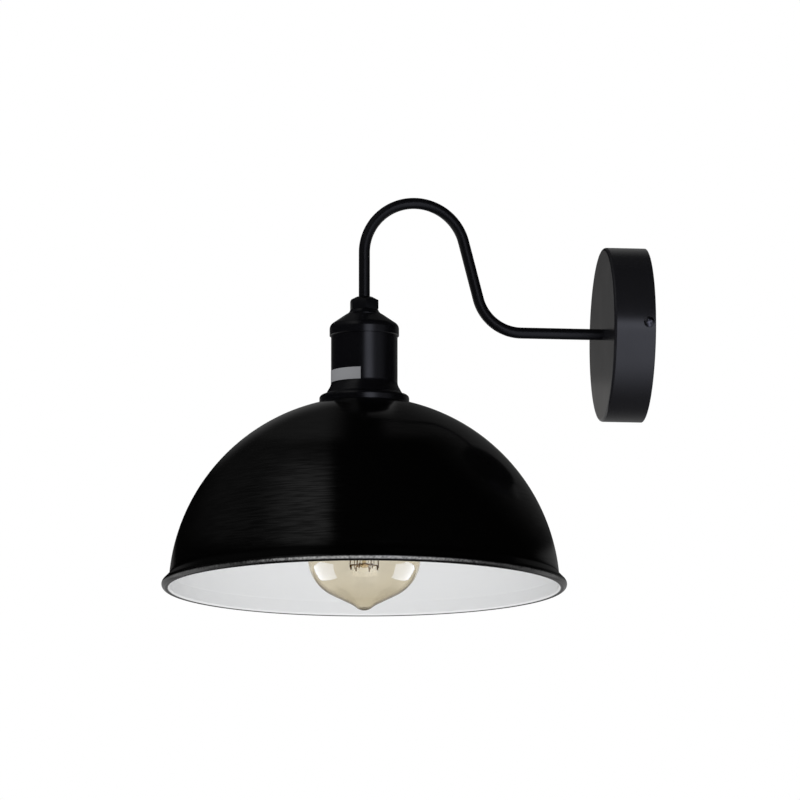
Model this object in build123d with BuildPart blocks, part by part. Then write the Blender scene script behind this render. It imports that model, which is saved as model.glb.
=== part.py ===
from build123d import *
import math
import os

# Wall lamp: a domed metal shade on a swan-neck arm, carried by a round canopy on the wall.
# Millimetres and degrees. The origin is on the wall at the middle of the canopy, -Y points out
# from the wall and +Z up. The arm lies in the plane X = 0 and the head hangs from its free end.

os.makedirs("parts", exist_ok=True)

# Fits
slip_fit = 0.05  # radial, a thread or spigot in its bore
hole_play = 0.25  # radial, a screw or a wire in a plain hole
near_gap = 0.4  # between pieces that lie close without touching
screw_tip_gap = 0.3  # wall to the ends of the screws in the bracket

# Canopy, the spun cup against the wall
canopy_diameter = 125.0
canopy_depth = 30.0
canopy_sheet = 1.2
canopy_edge_radius = 2.0

# Wall bracket, a bent strap with an upright tongue for the terminal block
strap_width = 20.0
strap_sheet = 1.6
strap_bend_radius = 1.8  # at mid-sheet
tab_depth = 10.0
slot_spacing = 76.0
slot_length = 14.0
slot_width = 4.8
cable_hole_diameter = 12.0
tongue_width = 34.0
tongue_margin = 3.0
tongue_corner_radius = 4.0

# Screws that hold the canopy on the bracket's tabs
side_screw_diameter = 4.0
side_screw_length = 8.0
side_screw_inset = 5.0  # wall to screw axis
side_screw_head_diameter = 7.5
side_screw_head_height = 2.4

# Earth screw and its ring lug on the strap
earth_screw_diameter = 4.0
earth_head_diameter = 8.0
earth_head_height = 2.6
earth_offset = 24.0  # lamp axis to the screw
lug_sheet = 0.8
lug_barrel_diameter = 3.4
lug_barrel_length = 4.5

# Terminal block, three poles side by side
pole_pitch = 10.0
pole_width = 8.4
block_length = 18.0
block_height = 13.0
block_corner_radius = 1.4
block_lift = 3.0  # strap edge to the lower end of the block
web_length = 10.0
web_height = 7.0
conductor_height = 6.4  # seat of the block to the axis of its brass sleeves
clamp_diameter = 5.0
clamp_bore = 3.0
clamp_recess = 2.0
clamp_screw_diameter = 3.0
clamp_screw_spacing = 8.0
clamp_screw_recess = 1.5
block_screw_diameter = 2.5
block_screw_head_diameter = 4.0
block_screw_head_height = 1.8

# Insulated leads
lead_diameter = 1.8
lead_spacing = 2.0  # between the two leads in the arm
lead_bend_radius = 4.5
earth_bend_radius = 3.0
lead_entry = 5.0  # length of a lead inside a pole
lead_straight = 4.0  # straight end below the terminal block

# Swan-neck arm
reach = 202.0  # wall to the axis of the head
arch_rise = 92.5  # run of the arm to the top of the arch, on the centre line
arch_radius = 36.5
root_bend_radius = 32.0
arm_lean = 14.5  # of the rising stretch, from the vertical
leg_length = 32.5  # end of the arch to the top of the hex nut
tube_diameter = 8.0
tube_wall = 1.0
tube_insertion = 24.0  # below the top of the hex nut

# Threaded nipple in the root of the arm, with its nut, washer and bush inside the canopy
nipple_bore = 4.3
nipple_insertion = 12.0
nipple_end = 3.0  # past the nut
star_washer_diameter = 11.0
star_washer_sheet = 0.8
star_washer_teeth = 10
star_notch_depth = 1.2
star_notch_width = 1.1
root_nut_flats = 10.0
root_nut_height = 5.0
bush_wall = 1.2
bush_grip = 2.0  # on the nipple
bush_lip = 1.5

# Head fastening: threaded sleeve, hex nut, cone washer and inner lock nut
sleeve_wall = 0.95
sleeve_recess = 0.5  # below the top of the hex nut
hex_flats = 19.0
hex_height = 9.5
hex_chamfer_angle = 30.0
hex_crown_diameter = 12.0  # flat top, above the cone that turns off the upper corners
hex_crown_angle = 28.0
cone_washer_height = 3.5
cone_washer_top_diameter = 20.4
cone_washer_diameter = 26.4
lock_nut_flats = 15.0
lock_nut_height = 4.0

# Holder cap and holder cup, the two spun shells over the lampholder
shell_sheet = 1.0
cap_diameter = 49.8
cap_height = 15.3
cap_crown_diameter = 27.2
cap_cone_drop = 7.9
cap_crown_round = 1.2
cap_shoulder_round = 4.5
cup_overlap = 5.0  # inside the cap
cup_length = 49.2  # lower edge of the cap to the seat of the shade
flange_diameter = 64.4
flange_height = 6.0
flare_height = 8.0
flare_width = 4.2
flare_fall = 0.7  # slope of the flange top, inner to outer edge
flare_round = 9.0
foot_round = 3.0
flange_round = 2.0

# Shade, a spun dome with a flat seat at the top and a rolled bead at the rim
shade_sheet = 0.9
dome_radius = 140.0  # outer
shade_diameter = 290.0  # over the bead
shade_height = 130.2  # seat to the middle of the bead
shade_hole_play = 0.6  # radial, round the lampholder
seat_diameter = 66.0
seat_round = 6.0
bead_diameter = 6.4
bead_wrap = 235.0  # turn of the rolled edge past its tangent
lip_angle = 45.0
lip_round = 3.0

# Lampholder for a 27 mm screw cap
lampholder_height = 62.0
mouth_drop = 24.0  # seat of the shade to the mouth
skirt_diameter = 39.2
boss_diameter = 17.0
boss_height = 8.0
roof_drop = 6.0
roof_wall = 2.4
holder_diameter = 38.0
holder_wall = 2.4
core_ledge = 1.4  # of the upper part over the core
core_depth = 24.0  # top of the lampholder to the top of the core
core_flange_height = 5.0
core_play = 0.3
spigot_height = 7.0
spigot_play = 0.1
socket_play = 0.35  # radial, screw shell in the skirt
socket_sheet = 0.4
socket_end = 2.5  # mouth to the lower edge of the screw shell
socket_window_diameter = 13.0
pillar_diameter = 25.0
contact_width = 6.0
contact_sheet = 0.4
contact_drop = 2.2  # core to the tip of the bulb's contact
contact_length = 10.0
contact_foot = 2.5  # flat length at each end of the tongue
contact_curl = 0.55  # rise of its free end
terminal_offset = 9.0
terminal_width = 7.0
terminal_length = 8.0
terminal_height = 7.0
terminal_screw_diameter = 3.0
terminal_head_diameter = 5.0
terminal_head_height = 1.8
terminal_entry = 5.0  # lead inside the terminal
sleeve_through = 1.0  # boss of the lampholder past the end of the sleeve
lead_exit = 2.5  # end of the sleeve to the first bend of a lead
lead_fall = 4.0  # from that bend to the next one

# Shade ring that clamps the shade under the cup
ring_flange_diameter = 55.0
ring_flange_height = 2.2
ring_diameter = 45.5
ring_height = 8.5
ring_notches = 12
ring_notch_width = 4.0
ring_notch_depth = 1.4

# Bulb with a 27 mm screw cap and a tipped globe
bulb_length = 151.2
bulb_diameter = 81.0
glass_wall = 0.9
cap_depth = 26.2  # mouth of the lampholder to the tip of the contact
screw_cap_diameter = 26.2
screw_cap_sheet = 0.4
screw_cap_play = 0.2  # radial, in the screw shell
screw_cap_rim = 1.2  # inside the mouth
contact_diameter = 9.0
contact_height = 1.5
insulator_height = 3.8
insulator_top_diameter = 11.0
cap_shoulder_height = 1.6
cap_shoulder_diameter = 22.6
neck_diameter = 26.4
neck_insertion = 8.0  # inside the screw cap
cement_gap = 0.4
neck_chamfer = 1.6
tip_round = 9.0
tip_turn = 40.0
dimple_round = 20.0
taper_angle = 26.0
belly_round = 30.0
crown_round = 70.0
crown_turn = 30.0
neck_round = 40.0

# Mount inside the bulb: glass stem, lead-in wires, hooks and filament
stem_flare_height = 9.0
stem_flare_edge = 1.0
stem_diameter = 8.0
stem_length = 23.0
stem_taper = 8.0
rod_diameter = 3.2
button_diameter = 6.4
button_height = 3.6
button_edge = 1.8  # height of its cylindrical band
filament_bottom = 31.0  # tip of the bulb to the lower turns
filament_height = 60.0
filament_bottom_radius = 10.3
filament_top_radius = 8.0
filament_diameter = 0.5
filament_turn_width = 1.7
filament_turn_round = 0.7
hook_diameter = 0.6
hook_drop = 1.6
hook_round = 1.0
hook_gap = 0.2  # hook to stem and to filament
lower_hooks = 6
lead_in_bend = 1.6

# Radii and levels that follow
canopy_radius = canopy_diameter / 2
canopy_bore_radius = canopy_radius - canopy_sheet
tube_radius = tube_diameter / 2
tube_bore_radius = tube_radius - tube_wall
lead_radius = lead_diameter / 2
nipple_radius = tube_bore_radius - slip_fit
sleeve_bore_radius = tube_radius + slip_fit
sleeve_radius = sleeve_bore_radius + sleeve_wall
cap_radius = cap_diameter / 2
cup_radius = cap_radius - shell_sheet - slip_fit
skirt_radius = skirt_diameter / 2
holder_radius = holder_diameter / 2
screw_cap_radius = screw_cap_diameter / 2
socket_radius = screw_cap_radius + screw_cap_play
socket_outer_radius = socket_radius + socket_sheet
skirt_bore_radius = socket_outer_radius + socket_play

tab_face = math.sqrt(canopy_bore_radius**2 - (strap_width / 2) ** 2) - near_gap
block_bottom = strap_width / 2 + block_lift
block_middle = block_bottom + block_length / 2
conductor_y = -(strap_sheet + conductor_height)
root_nut_face = canopy_depth - canopy_sheet - star_washer_sheet
nipple_face = root_nut_face - root_nut_height - nipple_end

lean_sin = math.sin(math.radians(arm_lean))
lean_cos = math.cos(math.radians(arm_lean))
root_turn = 90 - arm_lean
arch_turn = 180 - arm_lean
bends = root_bend_radius + arch_radius
rise_length = (arch_rise - bends * (1 - lean_sin)) / lean_cos
run_length = reach - canopy_depth - arch_radius - bends * lean_cos - rise_length * lean_sin

hex_top = arch_rise - arch_radius - leg_length
hex_bottom = hex_top - hex_height
tube_end = hex_top - tube_insertion
cap_top = hex_bottom - cone_washer_height
cap_bottom = cap_top - cap_height
seat_z = cap_bottom - cup_length
rim_z = seat_z - shade_height
mouth_z = seat_z - mouth_drop
holder_top = mouth_z + lampholder_height
boss_bottom = holder_top - boss_height
sleeve_bottom = boss_bottom - roof_wall + sleeve_through
core_top = holder_top - core_depth
core_seat = core_top - core_flange_height
joint_z = core_seat - spigot_height
bulb_top = mouth_z + cap_depth
bulb_tip = bulb_top - bulb_length
pillar_bottom = bulb_top + contact_drop
terminal_top = core_top + terminal_height

head_plane = Plane.XZ.offset(reach)
head_axis = Axis((0, -reach, 0), (0, 0, 1))


def head_level(z):
    """Horizontal plane through the head's axis at the height z."""
    return Plane(origin=(0, -reach, z))


def head_meridian(angle):
    """Upright half-plane through the head's axis, X to the outside and Y up."""
    turn = math.radians(angle)
    outward = (math.cos(turn), math.sin(turn), 0)
    return Plane(origin=(0, -reach, 0), x_dir=outward, z_dir=(math.sin(turn), -math.cos(turn), 0))


def swan_neck(x_offset, leg_end):
    """Line of the arm in the plane X = x_offset, from the canopy's face to the height leg_end."""
    with BuildLine(Plane.YZ.offset(x_offset)) as neck:
        run = Line((-canopy_depth, 0), (-canopy_depth - run_length, 0))
        root_bend = JernArc(run @ 1, run % 1, root_bend_radius, -root_turn)
        rise = Line(root_bend @ 1, root_bend @ 1 + (root_bend % 1) * rise_length)
        arch = JernArc(rise @ 1, rise % 1, arch_radius, arch_turn)
        Line(arch @ 1, (-reach, leg_end))
    return neck.wire()


def square_to(path):
    """Plane across the start of a path."""
    return Plane(origin=path @ 0, z_dir=path % 0)


# Canopy
with BuildPart() as canopy:
    with BuildSketch(Plane.XZ):
        Circle(canopy_radius)
    extrude(amount=canopy_depth)
    fillet(canopy.faces().sort_by(Axis.Y)[0].edges(), canopy_edge_radius)
    offset(amount=-canopy_sheet, openings=canopy.faces().sort_by(Axis.Y)[-1])
    with BuildSketch(Plane.XZ):
        Circle(nipple_radius + hole_play)
    extrude(amount=canopy_depth, mode=Mode.SUBTRACT)
    with BuildSketch(Plane.YZ):
        with Locations((-side_screw_inset, 0)):
            Circle(side_screw_diameter / 2 + hole_play)
    extrude(amount=canopy_radius, both=True, mode=Mode.SUBTRACT)

canopy.part.label = "canopy"
export_step(canopy.part, "parts/canopy.step")

# Wall bracket
mid_sheet = strap_sheet / 2
with BuildPart() as wall_bracket:
    with BuildSketch(Plane.XY):
        with BuildLine():
            FilletPolyline(
                (-tab_face + mid_sheet, -tab_depth),
                (-tab_face + mid_sheet, -mid_sheet),
                (tab_face - mid_sheet, -mid_sheet),
                (tab_face - mid_sheet, -tab_depth),
                radius=strap_bend_radius,
            )
        trace(line_width=strap_sheet)
    extrude(amount=strap_width / 2, both=True)
    with BuildSketch(Plane.XZ) as tongue:
        with Locations((0, (block_bottom + block_length + tongue_margin) / 2)):
            Rectangle(tongue_width, block_bottom + block_length + tongue_margin)
        fillet(tongue.vertices().group_by(Axis.Y)[-1], tongue_corner_radius)
    extrude(amount=strap_sheet)
    with BuildSketch(Plane.XZ):
        with GridLocations(slot_spacing, 0, 2, 1):
            SlotOverall(slot_length, slot_width)
        Circle(cable_hole_diameter / 2)
        with Locations((-earth_offset, 0)):
            Circle(earth_screw_diameter / 2 + slip_fit)
        with Locations((pole_pitch / 2, block_middle)):
            Circle(block_screw_diameter / 2 + slip_fit)
    extrude(amount=strap_sheet, mode=Mode.SUBTRACT)
    with BuildSketch(Plane.YZ):
        with Locations((-side_screw_inset, 0)):
            Circle(side_screw_diameter / 2 + slip_fit)
    extrude(amount=tab_face, both=True, mode=Mode.SUBTRACT)

wall_bracket.part.label = "wall_bracket"
export_step(wall_bracket.part, "parts/wall_bracket.step")

# Screws through the canopy's rim
with BuildPart() as canopy_screws:
    for side in (1, -1):
        seat = Plane(
            origin=(side * canopy_radius, -side_screw_inset, 0), x_dir=(0, 1, 0), z_dir=(side, 0, 0)
        )
        with BuildSketch(seat):
            Circle(side_screw_head_diameter / 2)
        extrude(amount=side_screw_head_height)
        with BuildSketch(seat):
            Circle(side_screw_diameter / 2)
        extrude(amount=-side_screw_length)
    head_faces = canopy_screws.faces().sort_by(Axis.X)
    fillet(head_faces[0].edges() + head_faces[-1].edges(), side_screw_head_height / 2)

canopy_screws.part.label = "canopy_screws"
export_step(canopy_screws.part, "parts/canopy_screws.step")

# Ring lug of the earth lead, flat on the strap
lug_axis_y = -(strap_sheet + lug_barrel_diameter / 2)
lug_face = Plane.XZ.offset(strap_sheet)
lug_barrel_start = -earth_offset + earth_head_diameter / 2 + near_gap
with BuildPart() as earth_lug:
    with BuildSketch(lug_face):
        with Locations((-earth_offset, 0)):
            Circle(earth_head_diameter / 2)
        with Locations(((lug_barrel_start - earth_offset) / 2, 0)):
            Rectangle(lug_barrel_start + earth_offset + lug_sheet, lug_barrel_diameter)
        with Locations((-earth_offset, 0)):
            Circle(earth_screw_diameter / 2 + hole_play, mode=Mode.SUBTRACT)
    extrude(amount=lug_sheet)
    with BuildSketch(Plane.YZ.offset(lug_barrel_start)):
        with Locations((lug_axis_y, 0)):
            Circle(lug_barrel_diameter / 2)
    extrude(amount=lug_barrel_length)
    with BuildSketch(Plane.YZ.offset(lug_barrel_start + lug_sheet)):
        with Locations((lug_axis_y, 0)):
            Circle(lead_radius + slip_fit)
    extrude(amount=lug_barrel_length, mode=Mode.SUBTRACT)

earth_lug.part.label = "earth_lug"
export_step(earth_lug.part, "parts/earth_lug.step")

# Earth screw
with BuildPart() as earth_screw:
    with BuildSketch(lug_face.offset(lug_sheet)):
        with Locations((-earth_offset, 0)):
            Circle(earth_head_diameter / 2)
    extrude(amount=earth_head_height)
    fillet(earth_screw.faces().sort_by(Axis.Y)[0].edges(), earth_head_height / 2)
    with BuildSketch(lug_face.offset(lug_sheet)):
        with Locations((-earth_offset, 0)):
            Circle(earth_screw_diameter / 2)
    extrude(amount=-(strap_sheet + lug_sheet - screw_tip_gap))

earth_screw.part.label = "earth_screw"
export_step(earth_screw.part, "parts/earth_screw.step")

# Terminal block
block_seat = Plane.XZ.offset(strap_sheet)
poles = [(pole_pitch * step, block_middle) for step in (-1, 0, 1)]
clamp_screws = [
    (x, z + end * clamp_screw_spacing / 2) for x, z in poles for end in (-1, 1)
]
with BuildPart() as terminal_block:
    with BuildSketch(block_seat):
        with Locations(*poles):
            Rectangle(pole_width, block_length)
    extrude(amount=block_height)
    top_edges = terminal_block.faces().group_by(Axis.Y)[0].edges()
    fillet(top_edges, block_corner_radius)
    with BuildSketch(block_seat):
        with Locations((0, block_middle)):
            Rectangle(2 * pole_pitch + pole_width, web_length)
    extrude(amount=web_height)
    with BuildSketch(Plane.XY.offset(block_bottom)):
        with Locations(*[(x, conductor_y) for x, z in poles]):
            Circle(clamp_diameter / 2 + slip_fit)
    extrude(amount=block_length, mode=Mode.SUBTRACT)
    with BuildSketch(block_seat.offset(conductor_height)):
        with Locations(*clamp_screws):
            Circle(clamp_screw_diameter / 2 + hole_play)
    extrude(amount=block_height, mode=Mode.SUBTRACT)
    with BuildSketch(block_seat):
        with Locations((pole_pitch / 2, block_middle)):
            Circle(block_screw_diameter / 2 + hole_play)
    extrude(amount=block_height, mode=Mode.SUBTRACT)
    with BuildSketch(block_seat.offset(web_height)):
        with Locations((pole_pitch / 2, block_middle)):
            Circle(block_screw_head_diameter / 2 + hole_play)
    extrude(amount=block_height, mode=Mode.SUBTRACT)

terminal_block.part.label = "terminal_block"
export_step(terminal_block.part, "parts/terminal_block.step")

# Brass clamp sleeves of the terminal block
with BuildPart() as terminal_clamps:
    with BuildSketch(Plane.XY.offset(block_bottom + clamp_recess)):
        with Locations(*[(x, conductor_y) for x, z in poles]):
            Circle(clamp_diameter / 2)
            Circle(clamp_bore / 2, mode=Mode.SUBTRACT)
    extrude(amount=block_length - 2 * clamp_recess)
    with BuildSketch(block_seat.offset(conductor_height)):
        with Locations(*clamp_screws):
            Circle(clamp_screw_diameter / 2 + slip_fit)
    extrude(amount=block_height, mode=Mode.SUBTRACT)

terminal_clamps.part.label = "terminal_clamps"
export_step(terminal_clamps.part, "parts/terminal_clamps.step")

# Clamp screws of the terminal block
clamp_screw_tip = conductor_height + lead_radius + hole_play
with BuildPart() as terminal_block_screws:
    with BuildSketch(block_seat.offset(clamp_screw_tip)):
        with Locations(*clamp_screws):
            Circle(clamp_screw_diameter / 2)
    extrude(amount=block_height - clamp_screw_recess - clamp_screw_tip)

terminal_block_screws.part.label = "terminal_block_screws"
export_step(terminal_block_screws.part, "parts/terminal_block_screws.step")

# Screw that holds the terminal block on the tongue
with BuildPart() as block_fixing_screw:
    with BuildSketch(block_seat.offset(web_height)):
        with Locations((pole_pitch / 2, block_middle)):
            Circle(block_screw_head_diameter / 2)
    extrude(amount=block_screw_head_height)
    with BuildSketch(block_seat.offset(web_height)):
        with Locations((pole_pitch / 2, block_middle)):
            Circle(block_screw_diameter / 2)
    extrude(amount=-(web_height + strap_sheet - screw_tip_gap))

block_fixing_screw.part.label = "block_fixing_screw"
export_step(block_fixing_screw.part, "parts/block_fixing_screw.step")

# Arm
with BuildPart() as arm_tube:
    arm_path = swan_neck(0, tube_end)
    with BuildSketch(square_to(arm_path)):
        Circle(tube_radius)
        Circle(tube_bore_radius, mode=Mode.SUBTRACT)
    sweep(path=arm_path)

arm_tube.part.label = "arm_tube"
export_step(arm_tube.part, "parts/arm_tube.step")

# Threaded nipple in the root of the arm
with BuildPart() as arm_nipple:
    with BuildSketch(Plane.XZ.offset(nipple_face)):
        Circle(nipple_radius)
        Circle(nipple_bore / 2, mode=Mode.SUBTRACT)
    extrude(amount=canopy_depth + nipple_insertion - nipple_face)

arm_nipple.part.label = "arm_nipple"
export_step(arm_nipple.part, "parts/arm_nipple.step")

# Toothed lock washer behind the canopy's face
with BuildPart() as star_washer:
    with BuildSketch(Plane.XZ.offset(root_nut_face)):
        Circle(star_washer_diameter / 2)
        Circle(nipple_radius + hole_play, mode=Mode.SUBTRACT)
        with PolarLocations(star_washer_diameter / 2, star_washer_teeth):
            Rectangle(2 * star_notch_depth, star_notch_width, mode=Mode.SUBTRACT)
    extrude(amount=star_washer_sheet)

star_washer.part.label = "star_washer"
export_step(star_washer.part, "parts/star_washer.step")

# Nut on the nipple
with BuildPart() as root_nut:
    with BuildSketch(Plane.XZ.offset(root_nut_face - root_nut_height)):
        RegularPolygon(root_nut_flats / 2, 6, major_radius=False)
        Circle(nipple_radius + slip_fit, mode=Mode.SUBTRACT)
    extrude(amount=root_nut_height)

root_nut.part.label = "root_nut"
export_step(root_nut.part, "parts/root_nut.step")

# Plastic bush that keeps the leads off the nipple's edge
with BuildPart() as wire_bush:
    with BuildSketch(Plane.XZ.offset(nipple_face - bush_lip)):
        Circle(nipple_radius + slip_fit + bush_wall)
        Circle(nipple_bore / 2, mode=Mode.SUBTRACT)
    extrude(amount=bush_lip)
    with BuildSketch(Plane.XZ.offset(nipple_face)):
        Circle(nipple_radius + slip_fit + bush_wall)
        Circle(nipple_radius + slip_fit, mode=Mode.SUBTRACT)
    extrude(amount=bush_grip)

wire_bush.part.label = "wire_bush"
export_step(wire_bush.part, "parts/wire_bush.step")


def lead_path(side, pole_x):
    """Route of one lead: terminal block, bush, arm, sleeve and lampholder terminal."""
    bore_x = side * lead_spacing / 2
    first_bend = sleeve_bottom - lead_exit
    with BuildLine() as root_end:
        FilletPolyline(
            (pole_x, conductor_y, block_bottom + lead_entry),
            (pole_x, conductor_y, block_bottom - lead_straight),
            (bore_x, conductor_y, 0),
            (bore_x, -canopy_depth, 0),
            radius=lead_bend_radius,
        )
    with BuildLine() as head_end:
        FilletPolyline(
            (bore_x, -reach, tube_end),
            (bore_x, -reach, first_bend),
            (side * terminal_offset, -reach, first_bend - lead_fall),
            (side * terminal_offset, -reach, terminal_top - terminal_entry),
            radius=earth_bend_radius,
        )
    arm_edges = swan_neck(bore_x, tube_end).edges()
    return Wire(root_end.edges() + arm_edges + head_end.edges())


# Live lead
with BuildPart() as live_lead:
    live_path = lead_path(1, pole_pitch)
    with BuildSketch(square_to(live_path)):
        Circle(lead_radius)
    sweep(path=live_path)

live_lead.part.label = "live_lead"
export_step(live_lead.part, "parts/live_lead.step")

# Neutral lead
with BuildPart() as neutral_lead:
    neutral_path = lead_path(-1, 0)
    with BuildSketch(square_to(neutral_path)):
        Circle(lead_radius)
    sweep(path=neutral_path)

neutral_lead.part.label = "neutral_lead"
export_step(neutral_lead.part, "parts/neutral_lead.step")

# Earth lead from the lug to the third pole
with BuildPart() as earth_lead:
    with BuildLine() as earth_line:
        FilletPolyline(
            (lug_barrel_start + lug_sheet, lug_axis_y, 0),
            (-pole_pitch, lug_axis_y, 0),
            (-pole_pitch, conductor_y, block_bottom - lead_straight),
            (-pole_pitch, conductor_y, block_bottom + lead_entry),
            radius=earth_bend_radius,
        )
    earth_path = earth_line.wire()
    with BuildSketch(square_to(earth_path)):
        Circle(lead_radius)
    sweep(path=earth_path)

earth_lead.part.label = "earth_lead"
export_step(earth_lead.part, "parts/earth_lead.step")

# Threaded sleeve brazed on the free end of the arm
with BuildPart() as threaded_sleeve:
    with BuildSketch(head_level(sleeve_bottom)):
        Circle(sleeve_radius)
        Circle(sleeve_bore_radius, mode=Mode.SUBTRACT)
    extrude(amount=hex_top - sleeve_recess - sleeve_bottom)

threaded_sleeve.part.label = "threaded_sleeve"
export_step(threaded_sleeve.part, "parts/threaded_sleeve.step")

# Hex nut above the head: a cone turned on its top, and the corners turned off below
hex_corner = hex_flats / 2 / math.cos(math.radians(30))
corner_drop = (hex_corner - hex_flats / 2) * math.tan(math.radians(hex_chamfer_angle))
crown_drop = (hex_corner - hex_crown_diameter / 2) * math.tan(math.radians(hex_crown_angle))
with BuildPart() as hex_nut:
    with BuildSketch(head_level(hex_bottom)):
        RegularPolygon(hex_flats / 2, 6, major_radius=False)
    extrude(amount=hex_height)
    with BuildSketch(head_plane):
        with BuildLine():
            Polyline(
                (sleeve_radius + slip_fit, hex_bottom),
                (hex_flats / 2, hex_bottom),
                (hex_corner, hex_bottom + corner_drop),
                (hex_corner, hex_top - crown_drop),
                (hex_crown_diameter / 2, hex_top),
                (sleeve_radius + slip_fit, hex_top),
                close=True,
            )
        make_face()
    revolve(axis=head_axis, mode=Mode.INTERSECT)

hex_nut.part.label = "hex_nut"
export_step(hex_nut.part, "parts/hex_nut.step")

# Cone washer between the nut and the holder cap
with BuildPart() as cone_washer:
    with BuildSketch(head_plane):
        with BuildLine():
            Polyline(
                (sleeve_radius + hole_play, cap_top),
                (cone_washer_diameter / 2, cap_top),
                (cone_washer_top_diameter / 2, hex_bottom),
                (sleeve_radius + hole_play, hex_bottom),
                close=True,
            )
        make_face()
    revolve(axis=head_axis)

cone_washer.part.label = "cone_washer"
export_step(cone_washer.part, "parts/cone_washer.step")

# Holder cap, the cone-shouldered shell over the cup
half_shell = shell_sheet / 2
with BuildPart() as holder_cap:
    with BuildSketch(head_plane):
        with BuildLine():
            FilletPolyline(
                (sleeve_radius + hole_play, cap_top - half_shell),
                (cap_crown_diameter / 2, cap_top - half_shell),
                (cap_radius - half_shell, cap_top - cap_cone_drop),
                (cap_radius - half_shell, cap_bottom),
                radius=(cap_crown_round, cap_shoulder_round),
            )
        trace(line_width=shell_sheet)
    revolve(axis=head_axis)

holder_cap.part.label = "holder_cap"
export_step(holder_cap.part, "parts/holder_cap.step")

# Lock nut under the crown of the holder cap
with BuildPart() as lock_nut:
    with BuildSketch(head_level(cap_top - shell_sheet)):
        RegularPolygon(lock_nut_flats / 2, 6, major_radius=False)
        Circle(sleeve_radius + slip_fit, mode=Mode.SUBTRACT)
    extrude(amount=-lock_nut_height)

lock_nut.part.label = "lock_nut"
export_step(lock_nut.part, "parts/lock_nut.step")

# Holder cup with its flared foot on the shade
flange_mid = flange_diameter / 2 - half_shell
flange_top = seat_z + flange_height - half_shell
cup_mid = cup_radius - half_shell
with BuildPart() as holder_cup:
    with BuildSketch(head_plane):
        with BuildLine():
            FilletPolyline(
                (cup_mid, cap_bottom + cup_overlap),
                (cup_mid, flange_top + flare_height),
                (cup_mid + flare_width, flange_top + flare_fall),
                (flange_mid, flange_top),
                (flange_mid, seat_z),
                radius=(flare_round, foot_round, flange_round),
            )
        trace(line_width=shell_sheet)
    revolve(axis=head_axis)

holder_cup.part.label = "holder_cup"
export_step(holder_cup.part, "parts/holder_cup.step")

# Shade, drawn along the middle of its sheet
half_sheet = shade_sheet / 2
dome_mid = dome_radius - half_sheet
seat_edge = seat_diameter / 2
dome_z = seat_z - half_sheet - math.sqrt(dome_mid**2 - seat_edge**2)
bead_mid = (bead_diameter - shade_sheet) / 2
bead_x = (shade_diameter - bead_diameter) / 2
lip_cos = math.cos(math.radians(lip_angle))
lip_sin = math.sin(math.radians(lip_angle))
lip_end = (bead_x + bead_mid * lip_cos, rim_z + bead_mid * lip_sin)
# the lip leaves the dome where its line, drawn back from the bead, meets the dome's circle
from_middle = (lip_end[0], lip_end[1] - dome_z)
along = from_middle[0] * lip_sin - from_middle[1] * lip_cos
across = from_middle[0] ** 2 + from_middle[1] ** 2 - dome_mid**2
lip_length = along - math.sqrt(along**2 - across)
lip_start = (lip_end[0] - lip_length * lip_sin, lip_end[1] + lip_length * lip_cos)
with BuildPart() as shade:
    with BuildSketch(head_plane):
        with BuildLine() as spun_line:
            seat_line = Line(
                (skirt_radius + shade_hole_play, seat_z - half_sheet), (seat_edge, seat_z - half_sheet)
            )
            dome = RadiusArc(seat_line @ 1, lip_start, dome_mid)
            lip = Line(dome @ 1, lip_end)
            JernArc(lip @ 1, lip % 1, bead_mid, -bead_wrap)
            fillet(spun_line.vertices().sort_by_distance(seat_line @ 1)[0], seat_round)
            fillet(spun_line.vertices().sort_by_distance(lip_start)[0], lip_round)
        trace(line_width=shade_sheet)
    revolve(axis=head_axis)

shade.part.label = "shade"
export_step(shade.part, "parts/shade.step")

# Shade ring, screwed on the lampholder's skirt
with BuildPart() as shade_ring:
    with BuildSketch(head_level(seat_z - shade_sheet)):
        Circle(ring_flange_diameter / 2)
    extrude(amount=-ring_flange_height)
    with BuildSketch(head_level(seat_z - shade_sheet)):
        Circle(ring_diameter / 2)
    extrude(amount=-ring_height)
    with BuildSketch(head_level(seat_z - shade_sheet)):
        Circle(skirt_radius + slip_fit)
    extrude(amount=-ring_height, mode=Mode.SUBTRACT)
    with BuildSketch(head_level(seat_z - shade_sheet)):
        with PolarLocations(ring_flange_diameter / 2, ring_notches):
            Rectangle(2 * ring_notch_depth, ring_notch_width)
    extrude(amount=-ring_flange_height, mode=Mode.SUBTRACT)

shade_ring.part.label = "shade_ring"
export_step(shade_ring.part, "parts/shade_ring.step")

# Upper part of the lampholder, screwed on the threaded sleeve
holder_bore = holder_radius - holder_wall
with BuildPart() as lampholder_dome:
    with BuildSketch(head_plane):
        with BuildLine():
            Polyline(
                (sleeve_radius + slip_fit, holder_top),
                (boss_diameter / 2, holder_top),
                (boss_diameter / 2, boss_bottom),
                (holder_radius, boss_bottom - roof_drop),
                (holder_radius, joint_z),
                (holder_bore, joint_z),
                (holder_bore, core_top),
                (holder_bore - core_ledge, core_top),
                (holder_bore - core_ledge, boss_bottom - roof_drop),
                (boss_diameter / 2, boss_bottom - roof_wall),
                (sleeve_radius + slip_fit, boss_bottom - roof_wall),
                close=True,
            )
        make_face()
    revolve(axis=head_axis)

lampholder_dome.part.label = "lampholder_dome"
export_step(lampholder_dome.part, "parts/lampholder_dome.step")

# Ceramic core, held between the upper part and the skirt
with BuildPart() as lampholder_core:
    with BuildSketch(head_level(core_seat)):
        Circle(holder_bore - core_play)
    extrude(amount=core_flange_height)
    with BuildSketch(head_level(pillar_bottom)):
        Circle(pillar_diameter / 2)
    extrude(amount=core_seat - pillar_bottom)

lampholder_core.part.label = "lampholder_core"
export_step(lampholder_core.part, "parts/lampholder_core.step")

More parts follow.
